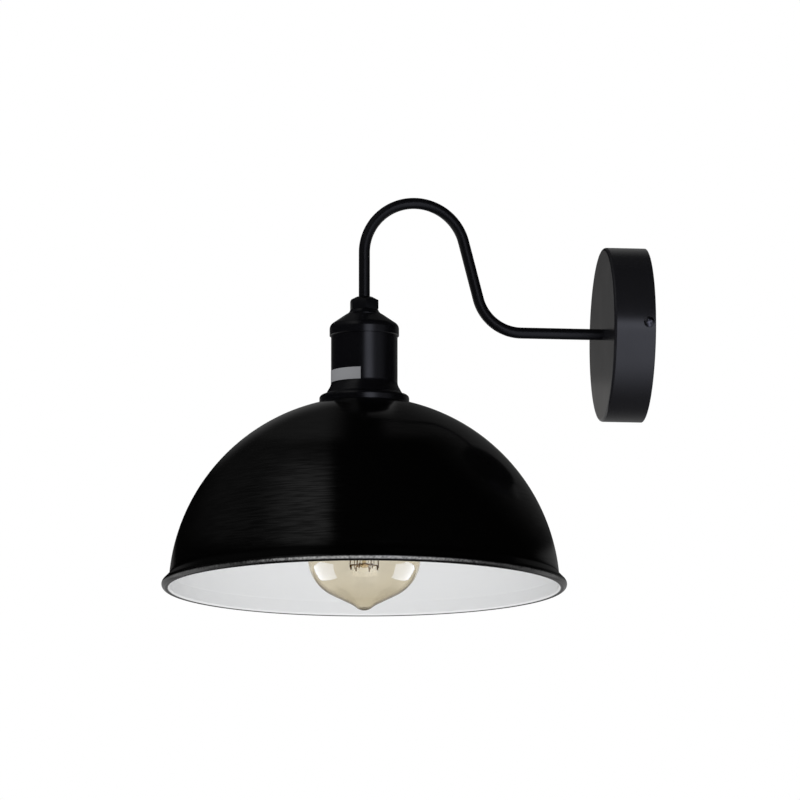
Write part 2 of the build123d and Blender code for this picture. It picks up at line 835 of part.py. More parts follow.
# Skirt of the lampholder
spigot_radius = holder_bore - spigot_play
with BuildPart() as lampholder_skirt:
    with BuildSketch(head_level(mouth_z)):
        Circle(skirt_radius)
    extrude(amount=joint_z - mouth_z)
    with BuildSketch(head_level(joint_z)):
        Circle(spigot_radius)
    extrude(amount=spigot_height)
    with BuildSketch(head_level(mouth_z)):
        Circle(skirt_bore_radius)
    extrude(amount=core_seat - mouth_z, mode=Mode.SUBTRACT)

lampholder_skirt.part.label = "lampholder_skirt"
export_step(lampholder_skirt.part, "parts/lampholder_skirt.step")

# Screw shell of the socket, closed at the top round a window for the contact
socket_bottom = mouth_z + socket_end
with BuildPart() as screw_shell:
    with BuildSketch(head_level(socket_bottom)):
        Circle(socket_outer_radius)
    extrude(amount=pillar_bottom - socket_bottom)
    with BuildSketch(head_level(socket_bottom)):
        Circle(socket_radius)
    extrude(amount=pillar_bottom - socket_sheet - socket_bottom, mode=Mode.SUBTRACT)
    with BuildSketch(head_level(socket_bottom)):
        Circle(socket_window_diameter / 2)
    extrude(amount=pillar_bottom - socket_bottom, mode=Mode.SUBTRACT)

screw_shell.part.label = "screw_shell"
export_step(screw_shell.part, "parts/screw_shell.step")

# Centre contact, a spring tongue under the core
contact_mid = contact_sheet / 2
contact_half = contact_length / 2
contact_tip = bulb_top + near_gap + contact_mid
with BuildPart() as centre_contact:
    with BuildSketch(head_plane):
        with BuildLine():
            Polyline(
                (contact_half, pillar_bottom - contact_mid),
                (contact_half - contact_foot, pillar_bottom - contact_mid),
                (contact_foot - contact_half, contact_tip),
                (-contact_half, contact_tip + contact_curl),
            )
        trace(line_width=contact_sheet)
    extrude(amount=contact_width / 2, both=True)

centre_contact.part.label = "centre_contact"
export_step(centre_contact.part, "parts/centre_contact.step")

# Terminals of the lampholder
with BuildPart() as holder_terminals:
    with BuildSketch(head_level(core_top)):
        with GridLocations(2 * terminal_offset, 0, 2, 1):
            Rectangle(terminal_width, terminal_length)
            Circle(lead_radius + hole_play, mode=Mode.SUBTRACT)
    extrude(amount=terminal_height)
    with BuildSketch(head_plane):
        with Locations((0, core_top + terminal_height / 2)):
            with GridLocations(2 * terminal_offset, 0, 2, 1):
                Circle(terminal_screw_diameter / 2 + slip_fit)
    extrude(amount=terminal_length, mode=Mode.SUBTRACT)

holder_terminals.part.label = "holder_terminals"
export_step(holder_terminals.part, "parts/holder_terminals.step")

# Screws of those terminals
with BuildPart() as holder_terminal_screws:
    with BuildSketch(head_plane.offset(terminal_length / 2)):
        with Locations((0, core_top + terminal_height / 2)):
            with GridLocations(2 * terminal_offset, 0, 2, 1):
                Circle(terminal_head_diameter / 2)
    extrude(amount=terminal_head_height)
    with BuildSketch(head_plane.offset(lead_radius + hole_play)):
        with Locations((0, core_top + terminal_height / 2)):
            with GridLocations(2 * terminal_offset, 0, 2, 1):
                Circle(terminal_screw_diameter / 2)
    extrude(amount=terminal_length / 2 - lead_radius - hole_play)

holder_terminal_screws.part.label = "holder_terminal_screws"
export_step(holder_terminal_screws.part, "parts/holder_terminal_screws.step")

# Solder contact at the tip of the bulb's cap
contact_bottom = bulb_top - contact_height
with BuildPart() as bulb_contact:
    with BuildSketch(head_level(contact_bottom)):
        Circle(contact_diameter / 2)
    extrude(amount=contact_height)
    fillet(bulb_contact.faces().sort_by(Axis.Z)[-1].edges(), contact_height / 2)

bulb_contact.part.label = "bulb_contact"
export_step(bulb_contact.part, "parts/bulb_contact.step")

# Glass insulator between the contact and the screw cap
insulator_bottom = contact_bottom - insulator_height
with BuildPart() as bulb_insulator:
    with BuildSketch(head_plane):
        with BuildLine():
            Polyline(
                (0, insulator_bottom),
                (cap_shoulder_diameter / 2, insulator_bottom),
                (insulator_top_diameter / 2, contact_bottom),
                (0, contact_bottom),
                close=True,
            )
        make_face()
    revolve(axis=head_axis)

bulb_insulator.part.label = "bulb_insulator"
export_step(bulb_insulator.part, "parts/bulb_insulator.step")

# Screw cap of the bulb
half_cap = screw_cap_sheet / 2
cap_rim = mouth_z + screw_cap_rim
with BuildPart() as bulb_cap:
    with BuildSketch(head_plane):
        with BuildLine():
            Polyline(
                (insulator_top_diameter / 2, insulator_bottom - half_cap),
                (cap_shoulder_diameter / 2, insulator_bottom - half_cap),
                (screw_cap_radius - half_cap, insulator_bottom - cap_shoulder_height),
                (screw_cap_radius - half_cap, cap_rim),
            )
        trace(line_width=screw_cap_sheet)
    revolve(axis=head_axis)

bulb_cap.part.label = "bulb_cap"
export_step(bulb_cap.part, "parts/bulb_cap.step")

# Glass of the bulb, drawn along its outside from the tip to the neck
bulb_radius = bulb_diameter / 2
neck_radius = neck_diameter / 2
tail_radius = screw_cap_radius - screw_cap_sheet - cement_gap
tail_top = cap_rim + neck_insertion
belly_start = bulb_radius - belly_round * (1 - math.sin(math.radians(taper_angle)))
slope_fall = bulb_radius - neck_radius
slope_fall -= (crown_round + neck_round) * (1 - math.cos(math.radians(crown_turn)))
slope_length = slope_fall / math.sin(math.radians(crown_turn))
with BuildPart() as bulb_glass:
    with BuildSketch(head_plane):
        with BuildLine() as glass_line:
            tip = JernArc((0, bulb_tip), (1, 0), tip_round, tip_turn)
            dimple = JernArc(tip @ 1, tip % 1, dimple_round, taper_angle - tip_turn)
            taper_length = (belly_start - (dimple @ 1).X) / (dimple % 1).X
            taper = Line(dimple @ 1, dimple @ 1 + (dimple % 1) * taper_length)
            belly = JernArc(taper @ 1, taper % 1, belly_round, 90 - taper_angle)
            crown = JernArc(belly @ 1, belly % 1, crown_round, crown_turn)
            slope = Line(crown @ 1, crown @ 1 + (crown % 1) * slope_length)
            neck = JernArc(slope @ 1, slope % 1, neck_round, -crown_turn)
            Polyline(
                neck @ 1,
                (neck_radius, cap_rim - neck_chamfer),
                (tail_radius, cap_rim),
                (tail_radius, tail_top),
            )
            offset(glass_line.wire(), amount=glass_wall, side=Side.LEFT, mode=Mode.ADD)
        make_face()
    revolve(axis=head_axis)

bulb_glass.part.label = "bulb_glass"
export_step(bulb_glass.part, "parts/bulb_glass.step")

# Glass stem: flare in the neck, thick tube, thin rod and the button that holds the lower hooks
flare_radius = tail_radius - glass_wall - near_gap
stem_radius = stem_diameter / 2
rod_radius = rod_diameter / 2
button_radius = button_diameter / 2
stem_top = tail_top
tube_bottom = stem_top - stem_length
lower_turns = bulb_tip + filament_bottom
upper_turns = lower_turns + filament_height
button_middle = lower_turns + hook_drop
with BuildPart() as bulb_stem:
    with BuildSketch(head_plane):
        with BuildLine():
            Polyline(
                (0, stem_top),
                (flare_radius, stem_top),
                (flare_radius, stem_top - stem_flare_edge),
                (stem_radius, stem_top - stem_flare_height),
                (stem_radius, tube_bottom),
                (rod_radius, tube_bottom - stem_taper),
                (rod_radius, button_middle + button_height / 2),
                (button_radius, button_middle + button_edge / 2),
                (button_radius, button_middle - button_edge / 2),
                (rod_radius, button_middle - button_height / 2),
                (0, button_middle - button_height / 2),
                close=True,
            )
        make_face()
    revolve(axis=head_axis)

bulb_stem.part.label = "bulb_stem"
export_step(bulb_stem.part, "parts/bulb_stem.step")

# Angles of the hooks: lower ones evenly spaced, upper ones between them, the lead-in wires in the last gap
hook_step = 360 / lower_hooks
lower_angles = [90 + hook_step * index for index in range(lower_hooks)]
upper_angles = [angle + hook_step / 2 for angle in lower_angles[:-1]]
lead_in_angles = [lower_angles[0] - hook_step / 3, lower_angles[-1] + hook_step / 3]
hook_radius = hook_diameter / 2
filament_radius = filament_diameter / 2
hook_inset = hook_radius + filament_radius + hook_gap


def hook_path(angle, root, tip_radius, root_z, tip_z):
    """Wire that leaves the stem level and ends beside the turn of the filament that it carries."""
    with BuildLine(head_meridian(angle)) as wire:
        FilletPolyline((root, root_z), (tip_radius, root_z), (tip_radius, tip_z), radius=hook_round)
    return wire.wire()


# Hooks that carry the filament
with BuildPart() as filament_hooks:
    hook_paths = [
        hook_path(
            angle,
            button_radius + hook_gap,
            filament_bottom_radius - hook_inset,
            button_middle,
            button_middle - 2 * hook_drop,
        )
        for angle in lower_angles
    ]
    hook_paths += [
        hook_path(
            angle,
            rod_radius + hook_gap,
            filament_top_radius - hook_inset,
            upper_turns - hook_drop,
            upper_turns + hook_drop,
        )
        for angle in upper_angles
    ]
    for path in hook_paths:
        with BuildSketch(square_to(path)):
            Circle(hook_radius)
        sweep(path=path)

filament_hooks.part.label = "filament_hooks"
export_step(filament_hooks.part, "parts/filament_hooks.step")

# Lead-in wires from the stem to the two ends of the filament
with BuildPart() as lead_in_wires:
    for angle in lead_in_angles:
        with BuildLine(head_meridian(angle)) as lead_in_line:
            FilletPolyline(
                (stem_radius + hook_gap, tube_bottom + lead_in_bend),
                (filament_top_radius, tube_bottom + lead_in_bend),
                (filament_top_radius, upper_turns + hook_gap),
                radius=lead_in_bend,
            )
        lead_in_path = lead_in_line.wire()
        with BuildSketch(square_to(lead_in_path)):
            Circle(hook_radius)
        sweep(path=lead_in_path)

lead_in_wires.part.label = "lead_in_wires"
export_step(lead_in_wires.part, "parts/lead_in_wires.step")


def turn_points(angle, radius, z):
    """The two corners of a filament turn round a hook."""
    half = math.degrees(filament_turn_width / 2 / radius)
    corners = []
    for bearing in (math.radians(angle - half), math.radians(angle + half)):
        corners.append((radius * math.cos(bearing), radius * math.sin(bearing) - reach, z))
    return corners


def lead_in_end(angle):
    """End of the filament under a lead-in wire."""
    bearing = math.radians(angle)
    x = filament_top_radius * math.cos(bearing)
    y = filament_top_radius * math.sin(bearing) - reach
    return (x, y, upper_turns)


# Filament, one wire that runs up and down between the hooks
filament_points = [lead_in_end(lead_in_angles[0])]
for index, angle in enumerate(lower_angles):
    filament_points += turn_points(angle, filament_bottom_radius, lower_turns)
    if index < len(upper_angles):
        filament_points += turn_points(upper_angles[index], filament_top_radius, upper_turns)
filament_points.append(lead_in_end(lead_in_angles[1]))
with BuildPart() as filament:
    with BuildLine() as filament_line:
        FilletPolyline(*filament_points, radius=filament_turn_round)
    filament_path = filament_line.wire()
    with BuildSketch(square_to(filament_path)):
        Circle(filament_radius)
    sweep(path=filament_path)

filament.part.label = "filament"
export_step(filament.part, "parts/filament.step")

# A swept wire's volume is its section times its length
for name, wire, path in (
    ("live_lead", live_lead, live_path),
    ("neutral_lead", neutral_lead, neutral_path),
    ("earth_lead", earth_lead, earth_path),
):
    expected = math.pi * lead_radius**2 * path.length
    print(name, "length", round(path.length, 1), "volume", round(wire.part.volume / expected, 4))
print("lead radii", lead_bend_radius, earth_bend_radius, root_bend_radius, arch_radius)
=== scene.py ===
import math

import bmesh
import bpy
from bpy.props import FloatProperty, FloatVectorProperty, PointerProperty
from mathutils import Matrix, Vector


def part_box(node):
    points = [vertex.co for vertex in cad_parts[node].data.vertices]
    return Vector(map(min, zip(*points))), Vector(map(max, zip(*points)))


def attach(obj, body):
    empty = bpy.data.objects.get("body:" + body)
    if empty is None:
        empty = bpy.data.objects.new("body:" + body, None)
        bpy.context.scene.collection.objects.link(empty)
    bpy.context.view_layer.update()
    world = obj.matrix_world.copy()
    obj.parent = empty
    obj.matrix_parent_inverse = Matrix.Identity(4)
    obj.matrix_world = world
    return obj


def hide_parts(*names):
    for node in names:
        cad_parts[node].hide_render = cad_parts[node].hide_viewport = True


bl_info = {
    "name": "Swan-neck wall lamp",
    "version": (1, 0, 0),
    "blender": (4, 5, 0),
    "location": "View3D > Sidebar > Wall Lamp",
    "description": "Dresses the frame of a wall lamp: spun shade, swan-neck arm, canopy and globe bulb",
    "category": "Object",
}

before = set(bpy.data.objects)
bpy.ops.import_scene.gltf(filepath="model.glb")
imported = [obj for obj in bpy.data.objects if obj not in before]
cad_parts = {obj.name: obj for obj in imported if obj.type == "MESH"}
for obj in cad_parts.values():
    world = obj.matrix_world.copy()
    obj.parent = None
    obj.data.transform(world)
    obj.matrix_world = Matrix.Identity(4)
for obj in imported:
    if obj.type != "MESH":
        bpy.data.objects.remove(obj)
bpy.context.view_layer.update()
mm = 0.001
up = Vector((0, 0, 1))
out_of_wall = Vector((0, -1, 0))
weld_distance = 2e-7  # points closer than this are one
negligible = 1e-6  # lengths and turns below this count as none
end_bluntness = 0.6  # how far a sheet's rounded end stands out, as a share of half its thickness
clamp_screw_radius = 1.5 * mm  # of the screws in the terminal block


# Places and sizes that the frame gives
def box_top(node):
    """Height of a node's highest point."""
    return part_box(node)[1].z


def box_bottom(node):
    """Height of a node's lowest point."""
    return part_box(node)[0].z


def box_radius(node):
    """Half the width of a node along X."""
    low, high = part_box(node)
    return (high.x - low.x) / 2


reach = -sum(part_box("shade"), Vector()).y / 2
head = Vector((0, -reach, 0))
canopy_depth = -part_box("canopy")[0].y
tube_radius = box_radius("arm_tube")


# Properties
def length(name, description, millimetres):
    """A size that a user can change, given in millimetres."""
    return FloatProperty(
        name=name, description=description, default=millimetres * mm, unit="LENGTH", precision=4
    )


def angle(name, description, degrees):
    """An angle that a user can change, given in degrees."""
    return FloatProperty(name=name, description=description, default=math.radians(degrees), subtype="ANGLE")


def linear(code):
    """Linear colour of an sRGB hex code."""
    channels = [int(code[i : i + 2], 16) / 255 for i in (1, 3, 5)]
    return [c / 12.92 if c <= 0.04045 else ((c + 0.055) / 1.055) ** 2.4 for c in channels]


def colour(name, description, code):
    """A colour that a user can change, given as an sRGB hex code."""
    return FloatVectorProperty(
        name=name, description=description, default=linear(code), subtype="COLOR", min=0, max=1
    )


class LampSizes(bpy.types.PropertyGroup):
    """Sizes of the lamp's visible forms that the frame's boxes don't give"""

    shade_sheet: length("Shade sheet", "Thickness of the spun dome", 0.9)
    dome_radius: length("Dome radius", "Outer radius of the dome", 140)
    seat_radius: length("Seat radius", "Flat seat at the top of the dome", 33)
    seat_blend: length("Seat blend", "Blend from the seat into the dome, along the sheet", 2.4)
    shade_hole: length("Shade hole", "Radius of the hole round the lampholder", 20.2)
    bead_radius: length("Bead radius", "Outer radius of the rolled edge", 3.2)
    bead_wrap: angle("Bead wrap", "Turn of the rolled edge down to the enamel", 192)
    lip_angle: angle("Lip angle", "Slope of the short lip above the bead", 45)
    lip_blend: length("Lip blend", "Blend from the dome into the lip, along the sheet", 1.2)

    arch_radius: length("Arch radius", "Bend at the top of the swan neck", 36.5)
    root_radius: length("Root radius", "Bend above the canopy", 32)
    arm_lean: angle("Arm lean", "Slope of the rising stretch, from the vertical", 14.5)

    canopy_sheet: length("Canopy sheet", "Thickness of the canopy", 1.2)
    canopy_edge: length("Canopy edge", "Outer radius of the canopy's edge", 2)
    canopy_hole: length("Canopy hole", "Radius of the hole for the arm's nipple", 3.2)

    hex_flats: length("Hex nut", "Width across the flats of the nut above the head", 19)
    hex_crown: length("Hex crown", "Radius of the nut's flat top", 6)
    hex_slope: angle("Hex slope", "Slope of the cone on the nut's top", 28)
    washer_top: length("Washer top", "Upper radius of the flared washer", 10.2)
    shell_sheet: length("Shell sheet", "Thickness of the two shells over the lampholder", 1)
    cap_crown: length("Cap crown", "Radius of the holder cap's flat top", 13.6)
    cap_cone: length("Cap cone", "Fall of the holder cap's cone", 7.9)
    crown_round: length("Crown round", "Radius of the cap's upper edge", 1.2)
    shoulder_round: length("Shoulder round", "Radius of the cap's shoulder", 4.5)
    foot_height: length("Foot height", "Height of the cup's foot", 6)
    foot_fall: length("Foot fall", "Slope of the foot's upper face", 0.7)
    flare_height: length("Flare height", "Height of the cup's flare", 8)
    flare_width: length("Flare width", "Width of the cup's flare", 4.2)
    flare_round: length("Flare round", "Radius between the cup's wall and its flare", 9)
    foil_top: length("Foil top", "Upper edge of the bare foil on the cup", -30.3)
    foil_height: length("Foil height", "Height of the bare foil on the cup", 8.7)

    lead_radius: length("Lead radius", "Radius of an insulated lead", 0.9)
    lead_spacing: length("Lead spacing", "Distance between the two leads in the arm", 2)

    glass_wall: length("Glass wall", "Thickness of the bulb's glass", 0.9)
    neck_radius: length("Neck radius", "Neck of the bulb above its cap", 13.2)
    thread_pitch: length("Thread pitch", "Rise of the bulb's thread in one turn", 3.629)
    thread_depth: length("Thread depth", "Depth of the bulb's thread", 1.05)
    cap_sheet: length("Cap sheet", "Sheet of the bulb's cap and of the screw shell", 0.4)


class LampFinish(bpy.types.PropertyGroup):
    """Colours of the lamp's finishes"""

    lacquer: colour("Lacquer", "Gloss black lacquer outside the shade", "#020202")
    enamel: colour("Enamel", "White enamel inside the shade", "#ECEDEE")
    # painted highlight: this grey stands for the glint on the front of the bead
    painted_glint: colour("Primer", "Grey primer that shows through on the bead", "#B4B4B4")
    paint: colour("Satin paint", "Satin black paint of the arm and the shells", "#08080B")
    # painted light: the canopy has the same satin black as the head, painted lighter to stand for the extra
    # light it takes
    lit_canopy_paint: colour("Canopy paint", "Satin black paint of the canopy, a little softer", "#161619")
    foil: colour("Foil", "Bare silver film on the cup", "#8C8D90")
    zinc: colour("Zinc plate", "Zinc-plated steel", "#B9BDC1")
    tin: colour("Tin plate", "Tinned copper", "#C9C6BE")
    oxide: colour("Black oxide", "Blackened steel of the canopy's screws", "#66666C")
    brass: colour("Brass", "Stamped brass", "#C9A45A")
    bakelite: colour("Bakelite", "Moulded black bakelite", "#161412")
    polyamide: colour("Polyamide", "Moulded white polyamide", "#E3E1DA")
    steatite: colour("Steatite", "Fired ceramic", "#E6E1D3")
    brown: colour("Brown", "Insulation of the live lead", "#5A3420")
    blue: colour("Blue", "Insulation of the neutral lead", "#2C5CA8")
    green: colour("Green", "Insulation of the earth lead", "#3E8A34")
    yellow: colour("Yellow", "Stripe of the earth lead", "#E0C030")
    amber: colour("Amber glass", "Tint of the bulb's glass", "#DDC251")
    stem: colour("Stem glass", "Stem of the bulb", "#DABF4E")
    nickel: colour("Nickel plate", "Plated cap of the bulb", "#C6C2B8")
    solder: colour("Solder", "Contact of the bulb", "#A6A6A8")
    wire: colour("Wire", "Filament and its hooks", "#5C3E0A")


class LampStage(bpy.types.PropertyGroup):
    """View and light"""

    azimuth: angle("Azimuth", "Camera, round from the lamp's front", 82.2)
    elevation: angle("Elevation", "Camera, above the horizon", -8.75)
    distance: FloatProperty(name="Distance", description="Camera to its aim", default=12, unit="LENGTH")
    view_width: length("View width", "Width of the picture at the lamp", 572.8)
    aim_out: length("Aim out", "Aim of the camera, out from the wall", 176.2)
    aim_down: length("Aim down", "Aim of the camera, below the canopy's middle", 50.4)
    floor_level: length("Floor level", "Height of the floor", -2000)
    floor_radius: length("Floor radius", "Radius of the round floor", 1600)
    floor_tone: colour("Floor", "Pale paint of the floor", "#F4F4F4")


# Meshes
def arc(centre, radius, start, end, steps):
    """Points along an arc in a plane; angles in radians, counted from the first axis to the second."""
    turns = [start + (end - start) * i / steps for i in range(steps + 1)]
    return [Vector(centre) + radius * Vector((math.cos(t), math.sin(t))) for t in turns]


def eased(before, corner, after, steps=6):
    """Points of a smooth blend round a corner, from the point before it to the point after it."""
    shares = [i / steps for i in range(steps + 1)]
    return [before * (1 - t) ** 2 + corner * (2 * t * (1 - t)) + after * t**2 for t in shares]


def rounded(corners, radii, steps=8):
    """A line through corners, each inner one rounded to its radius by a tangent arc."""
    corners = [Vector(c) for c in corners]
    points = [corners[0]]
    for before, corner, after, radius in zip(corners, corners[1:], corners[2:], radii):
        inward, outward = (corner - before).normalized(), (after - corner).normalized()
        turn = inward.angle(outward)
        side = (outward - inward * math.cos(turn)).normalized()
        start = corner - inward * radius * math.tan(turn / 2)
        for i in range(steps + 1):
            share = turn * i / steps
            points.append(start + radius * (inward * math.sin(share) + side * (1 - math.cos(share))))
    points.append(corners[-1])
    return points


def sheet_sides(line, thickness):
    """The left and right faces of a sheet whose middle runs along a line in a plane."""
    left, right = [], []
    for i, point in enumerate(line):
        along = (line[min(i + 1, len(line) - 1)] - line[max(i - 1, 0)]).normalized()
        across = Vector((-along.y, along.x)) * thickness / 2
        left.append(point + across)
        right.append(point - across)
    return left, right


def sheet_loop(line, thickness):
    """Closed outline of a sheet whose middle runs along a line, with its two ends rounded."""
    left, right = sheet_sides(line, thickness)
    turns = [math.pi * i / 6 for i in range(1, 6)]
    ends = []
    for near, tip in ((left[-1], line[-1]), (right[0], line[0])):
        across = near - tip
        ahead = Vector((across.y, -across.x))
        ends.append([tip + across * math.cos(t) + ahead * math.sin(t) * end_bluntness for t in turns])
    return left + ends[0] + right[::-1] + ends[1]


def clamped(share):
    """A share kept between 0 and 1."""
    return min(1.0, max(0.0, share))


def finished_mesh(name, bm, sharp=35, turn_out=True):
    """Turns a bmesh into a mesh that is smooth apart from its sharp edges."""
    bmesh.ops.remove_doubles(bm, verts=bm.verts, dist=weld_distance)
    if turn_out:
        bmesh.ops.recalc_face_normals(bm, faces=bm.faces)
    mesh = bpy.data.meshes.new(name)
    bm.to_mesh(mesh)
    bm.free()
    mesh.shade_smooth()
    mesh.set_sharp_from_angle(angle=math.radians(sharp))
    return mesh


def braced(outline, marks):
    """An outline with points added near the ends of its long stretches, so they shade as flat."""
    near, long = 0.3 * mm, 3 * mm
    line, values = [], {key: [] for key in marks}
    for i, here in enumerate(outline):
        k = (i + 1) % len(outline)
        here, there = Vector(here), Vector(outline[k])
        distance = (there - here).length
        for share in (0, near / distance, 1 - near / distance) if distance > long else (0,):
            line.append(here.lerp(there, share))
            for key, given in marks.items():
                values[key].append(given[i] + (given[k] - given[i]) * share)
    return line, values


def lathe(name, outline, place=head, axis=up, segments=96, span=(0, 2 * math.pi), marks=None, sharp=35):
    """Spins a closed outline of (radius, height) points round an axis.

    The outline is a list, or a function that gives the list for each turn, as a nut or a thread needs.
    The UV map holds the turn and the distance along the outline in metres. marks maps the name of an
    attribute to its value at each point of the outline.
    """
    marks = marks or {}
    if not callable(outline):
        outline, marks = braced(outline, marks)
    shape = outline if callable(outline) else lambda turn: outline
    first = Vector((1, 0, 0))
    second = axis.cross(first)
    full = abs(span[1] - span[0] - 2 * math.pi) < negligible
    bm = bmesh.new()
    uv = bm.loops.layers.uv.new("UVMap")
    layers = {key: bm.verts.layers.float.new(key) for key in marks}
    columns = []
    for j in range(segments + (not full)):
        turn = span[0] + (span[1] - span[0]) * j / segments
        around = first * math.cos(turn) + second * math.sin(turn)
        column = []
        for i, (radius, height) in enumerate(shape(turn)):
            vert = bm.verts.new(place + around * max(radius, 0) + axis * height)
            for key, layer in layers.items():
                vert[layer] = marks[key][i]
            column.append(vert)
        columns.append(column)
    line = shape(span[0])
    travel = [0.0]
    for here, there in zip(line, line[1:] + line[:1]):
        travel.append(travel[-1] + (Vector(there) - Vector(here)).length)
    for j in range(segments):
        here, there = columns[j], columns[(j + 1) % len(columns)]
        for i in range(len(line)):
            k = (i + 1) % len(line)
            if max(line[i][0], line[k][0]) < negligible:
                continue
            face = bm.faces.new((here[i], there[i], there[k], here[k]))
            corners = ((j, i), (j + 1, i), (j + 1, i + 1), (j, i + 1))
            for loop, (column, row) in zip(face.loops, corners):
                loop[uv].uv = (column / segments, travel[row])
    if not full:
        bm.faces.new(columns[0])
        bm.faces.new(columns[-1])
    return finished_mesh(name, bm, sharp)


def applied(name, mesh, kind, sharp=35, inputs=None, **settings):
    """The mesh that a modifier gives; inputs maps the identifiers of a tree's sockets to their values."""
    bench = bpy.data.objects.new("bench", mesh)
    bpy.context.scene.collection.objects.link(bench)
    modifier = bench.modifiers.new("shape", kind)
    for key, value in settings.items():
        setattr(modifier, key, value)
    for identifier, value in (inputs or {}).items():
        modifier[identifier] = value
    graph = bpy.context.evaluated_depsgraph_get()
    result = bpy.data.meshes.new_from_object(bench.evaluated_get(graph))
    result.name = name
    bench.modifiers.remove(modifier)
    bpy.data.objects.remove(bench)
    result.shade_smooth()
    result.set_sharp_from_angle(angle=math.radians(sharp))
    return result


def bevelled(mesh, width):
    """A mesh with its sharp edges eased."""
    return applied(
        mesh.name, mesh, "BEVEL", width=width, segments=2, limit_method="ANGLE", angle_limit=math.radians(30)
    )


def add_piece(name, mesh, body, slot, material, *nodes):
    """Adds a finished mesh to the scene as a piece that rides on a body and stands for nodes of the frame."""
    piece = bpy.data.objects.new(name, mesh)
    bpy.context.scene.collection.objects.link(piece)
    mesh.materials.clear()
    mesh.materials.append(material)
    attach(piece, body)
    if nodes:
        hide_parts(*nodes)
    return piece


def smooth_copy(node, body, slot, material, sharp=30, swell=0):
    """Stands for a node with a welded copy of its mesh, smooth apart from its sharp edges.

    swell thickens a fine wire all round, so that it shows.
    """
    bm = bmesh.new()
    bm.from_mesh(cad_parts[node].data)
    mesh = finished_mesh(node + "_finished", bm, sharp, turn_out=False)
    custom = mesh.attributes.get("custom_normal")
    if custom:
        mesh.attributes.remove(custom)
        mesh.set_sharp_from_angle(angle=math.radians(sharp))
    if swell:
        moves = [vertex.normal * swell for vertex in mesh.vertices]
        for vertex, move in zip(mesh.vertices, moves):
            vertex.co += move
    return add_piece(node + "_finished", mesh, body, slot, material, node)


# Geometry trees
def add_node(tree, kind, inputs=None, **settings):
    """Adds a node with its settings; an input is a value, the output that feeds it or a list of outputs."""
    node = tree.nodes.new(kind)
    for key, value in settings.items():
        setattr(node, key, value)
    for key, value in (inputs or {}).items():
        for feed in value if isinstance(value, list) else [value]:
            if isinstance(feed, bpy.types.NodeSocket):
                tree.links.new(feed, node.inputs[key])
            else:
                node.inputs[key].default_value = feed
    return node


def new_tree(name, inputs):
    """A geometry tree with named inputs; gives the tree, its start and the identifiers of its inputs."""
    tree = bpy.data.node_groups.new(name, "GeometryNodeTree")
    tree.interface.new_socket(name="Geometry", in_out="INPUT", socket_type="NodeSocketGeometry")
    tree.interface.new_socket(name="Geometry", in_out="OUTPUT", socket_type="NodeSocketGeometry")
    identifiers = {}
    for label, kind in inputs.items():
        socket = tree.interface.new_socket(name=label, in_out="INPUT", socket_type="NodeSocket" + kind)
        identifiers[label] = socket.identifier
    return tree, add_node(tree, "NodeGroupInput").outputs, identifiers


def end_tree(tree, geometry, material):
    """Closes a tree: instances made real, then the material."""
    real = add_node(tree, "GeometryNodeRealizeInstances", {"Geometry": geometry})
    done = add_node(
        tree, "GeometryNodeSetMaterial", {"Geometry": real.outputs["Geometry"], "Material": material}
    )
    add_node(tree, "NodeGroupOutput", {"Geometry": done.outputs["Geometry"]})


def run_tree(name, mesh, tree, identifiers, values, sharp=35):
    """The mesh that a tree makes of another mesh."""
    inputs = {identifiers[label]: value for label, value in values.items()}
    return applied(name, mesh, "NODES", sharp, node_group=tree, inputs=inputs)


def tube_tree():
    """A tree that draws a round bar along each line of a mesh, with the share of the way round it."""
    tree, given, identifiers = new_tree(
        "bar_along_line", {"Radius": "Float", "Sides": "Int", "Material": "Material"}
    )
    line = add_node(tree, "GeometryNodeMeshToCurve", {"Mesh": given["Geometry"]})
    ring = add_node(
        tree, "GeometryNodeCurvePrimitiveCircle", {"Resolution": given["Sides"], "Radius": given["Radius"]}
    )
    way = add_node(tree, "GeometryNodeSplineParameter")
    marked = add_node(
        tree, "GeometryNodeStoreNamedAttribute",
        {"Geometry": ring.outputs["Curve"], "Name": "around", "Value": way.outputs["Factor"]},
        data_type="FLOAT", domain="POINT",
    )
    bar = add_node(
        tree, "GeometryNodeCurveToMesh",
        {"Curve": line.outputs["Curve"], "Profile Curve": marked.outputs["Geometry"], "Fill Caps": True},
    )
    end_tree(tree, bar.outputs["Mesh"], given["Material"])
    return tree, identifiers


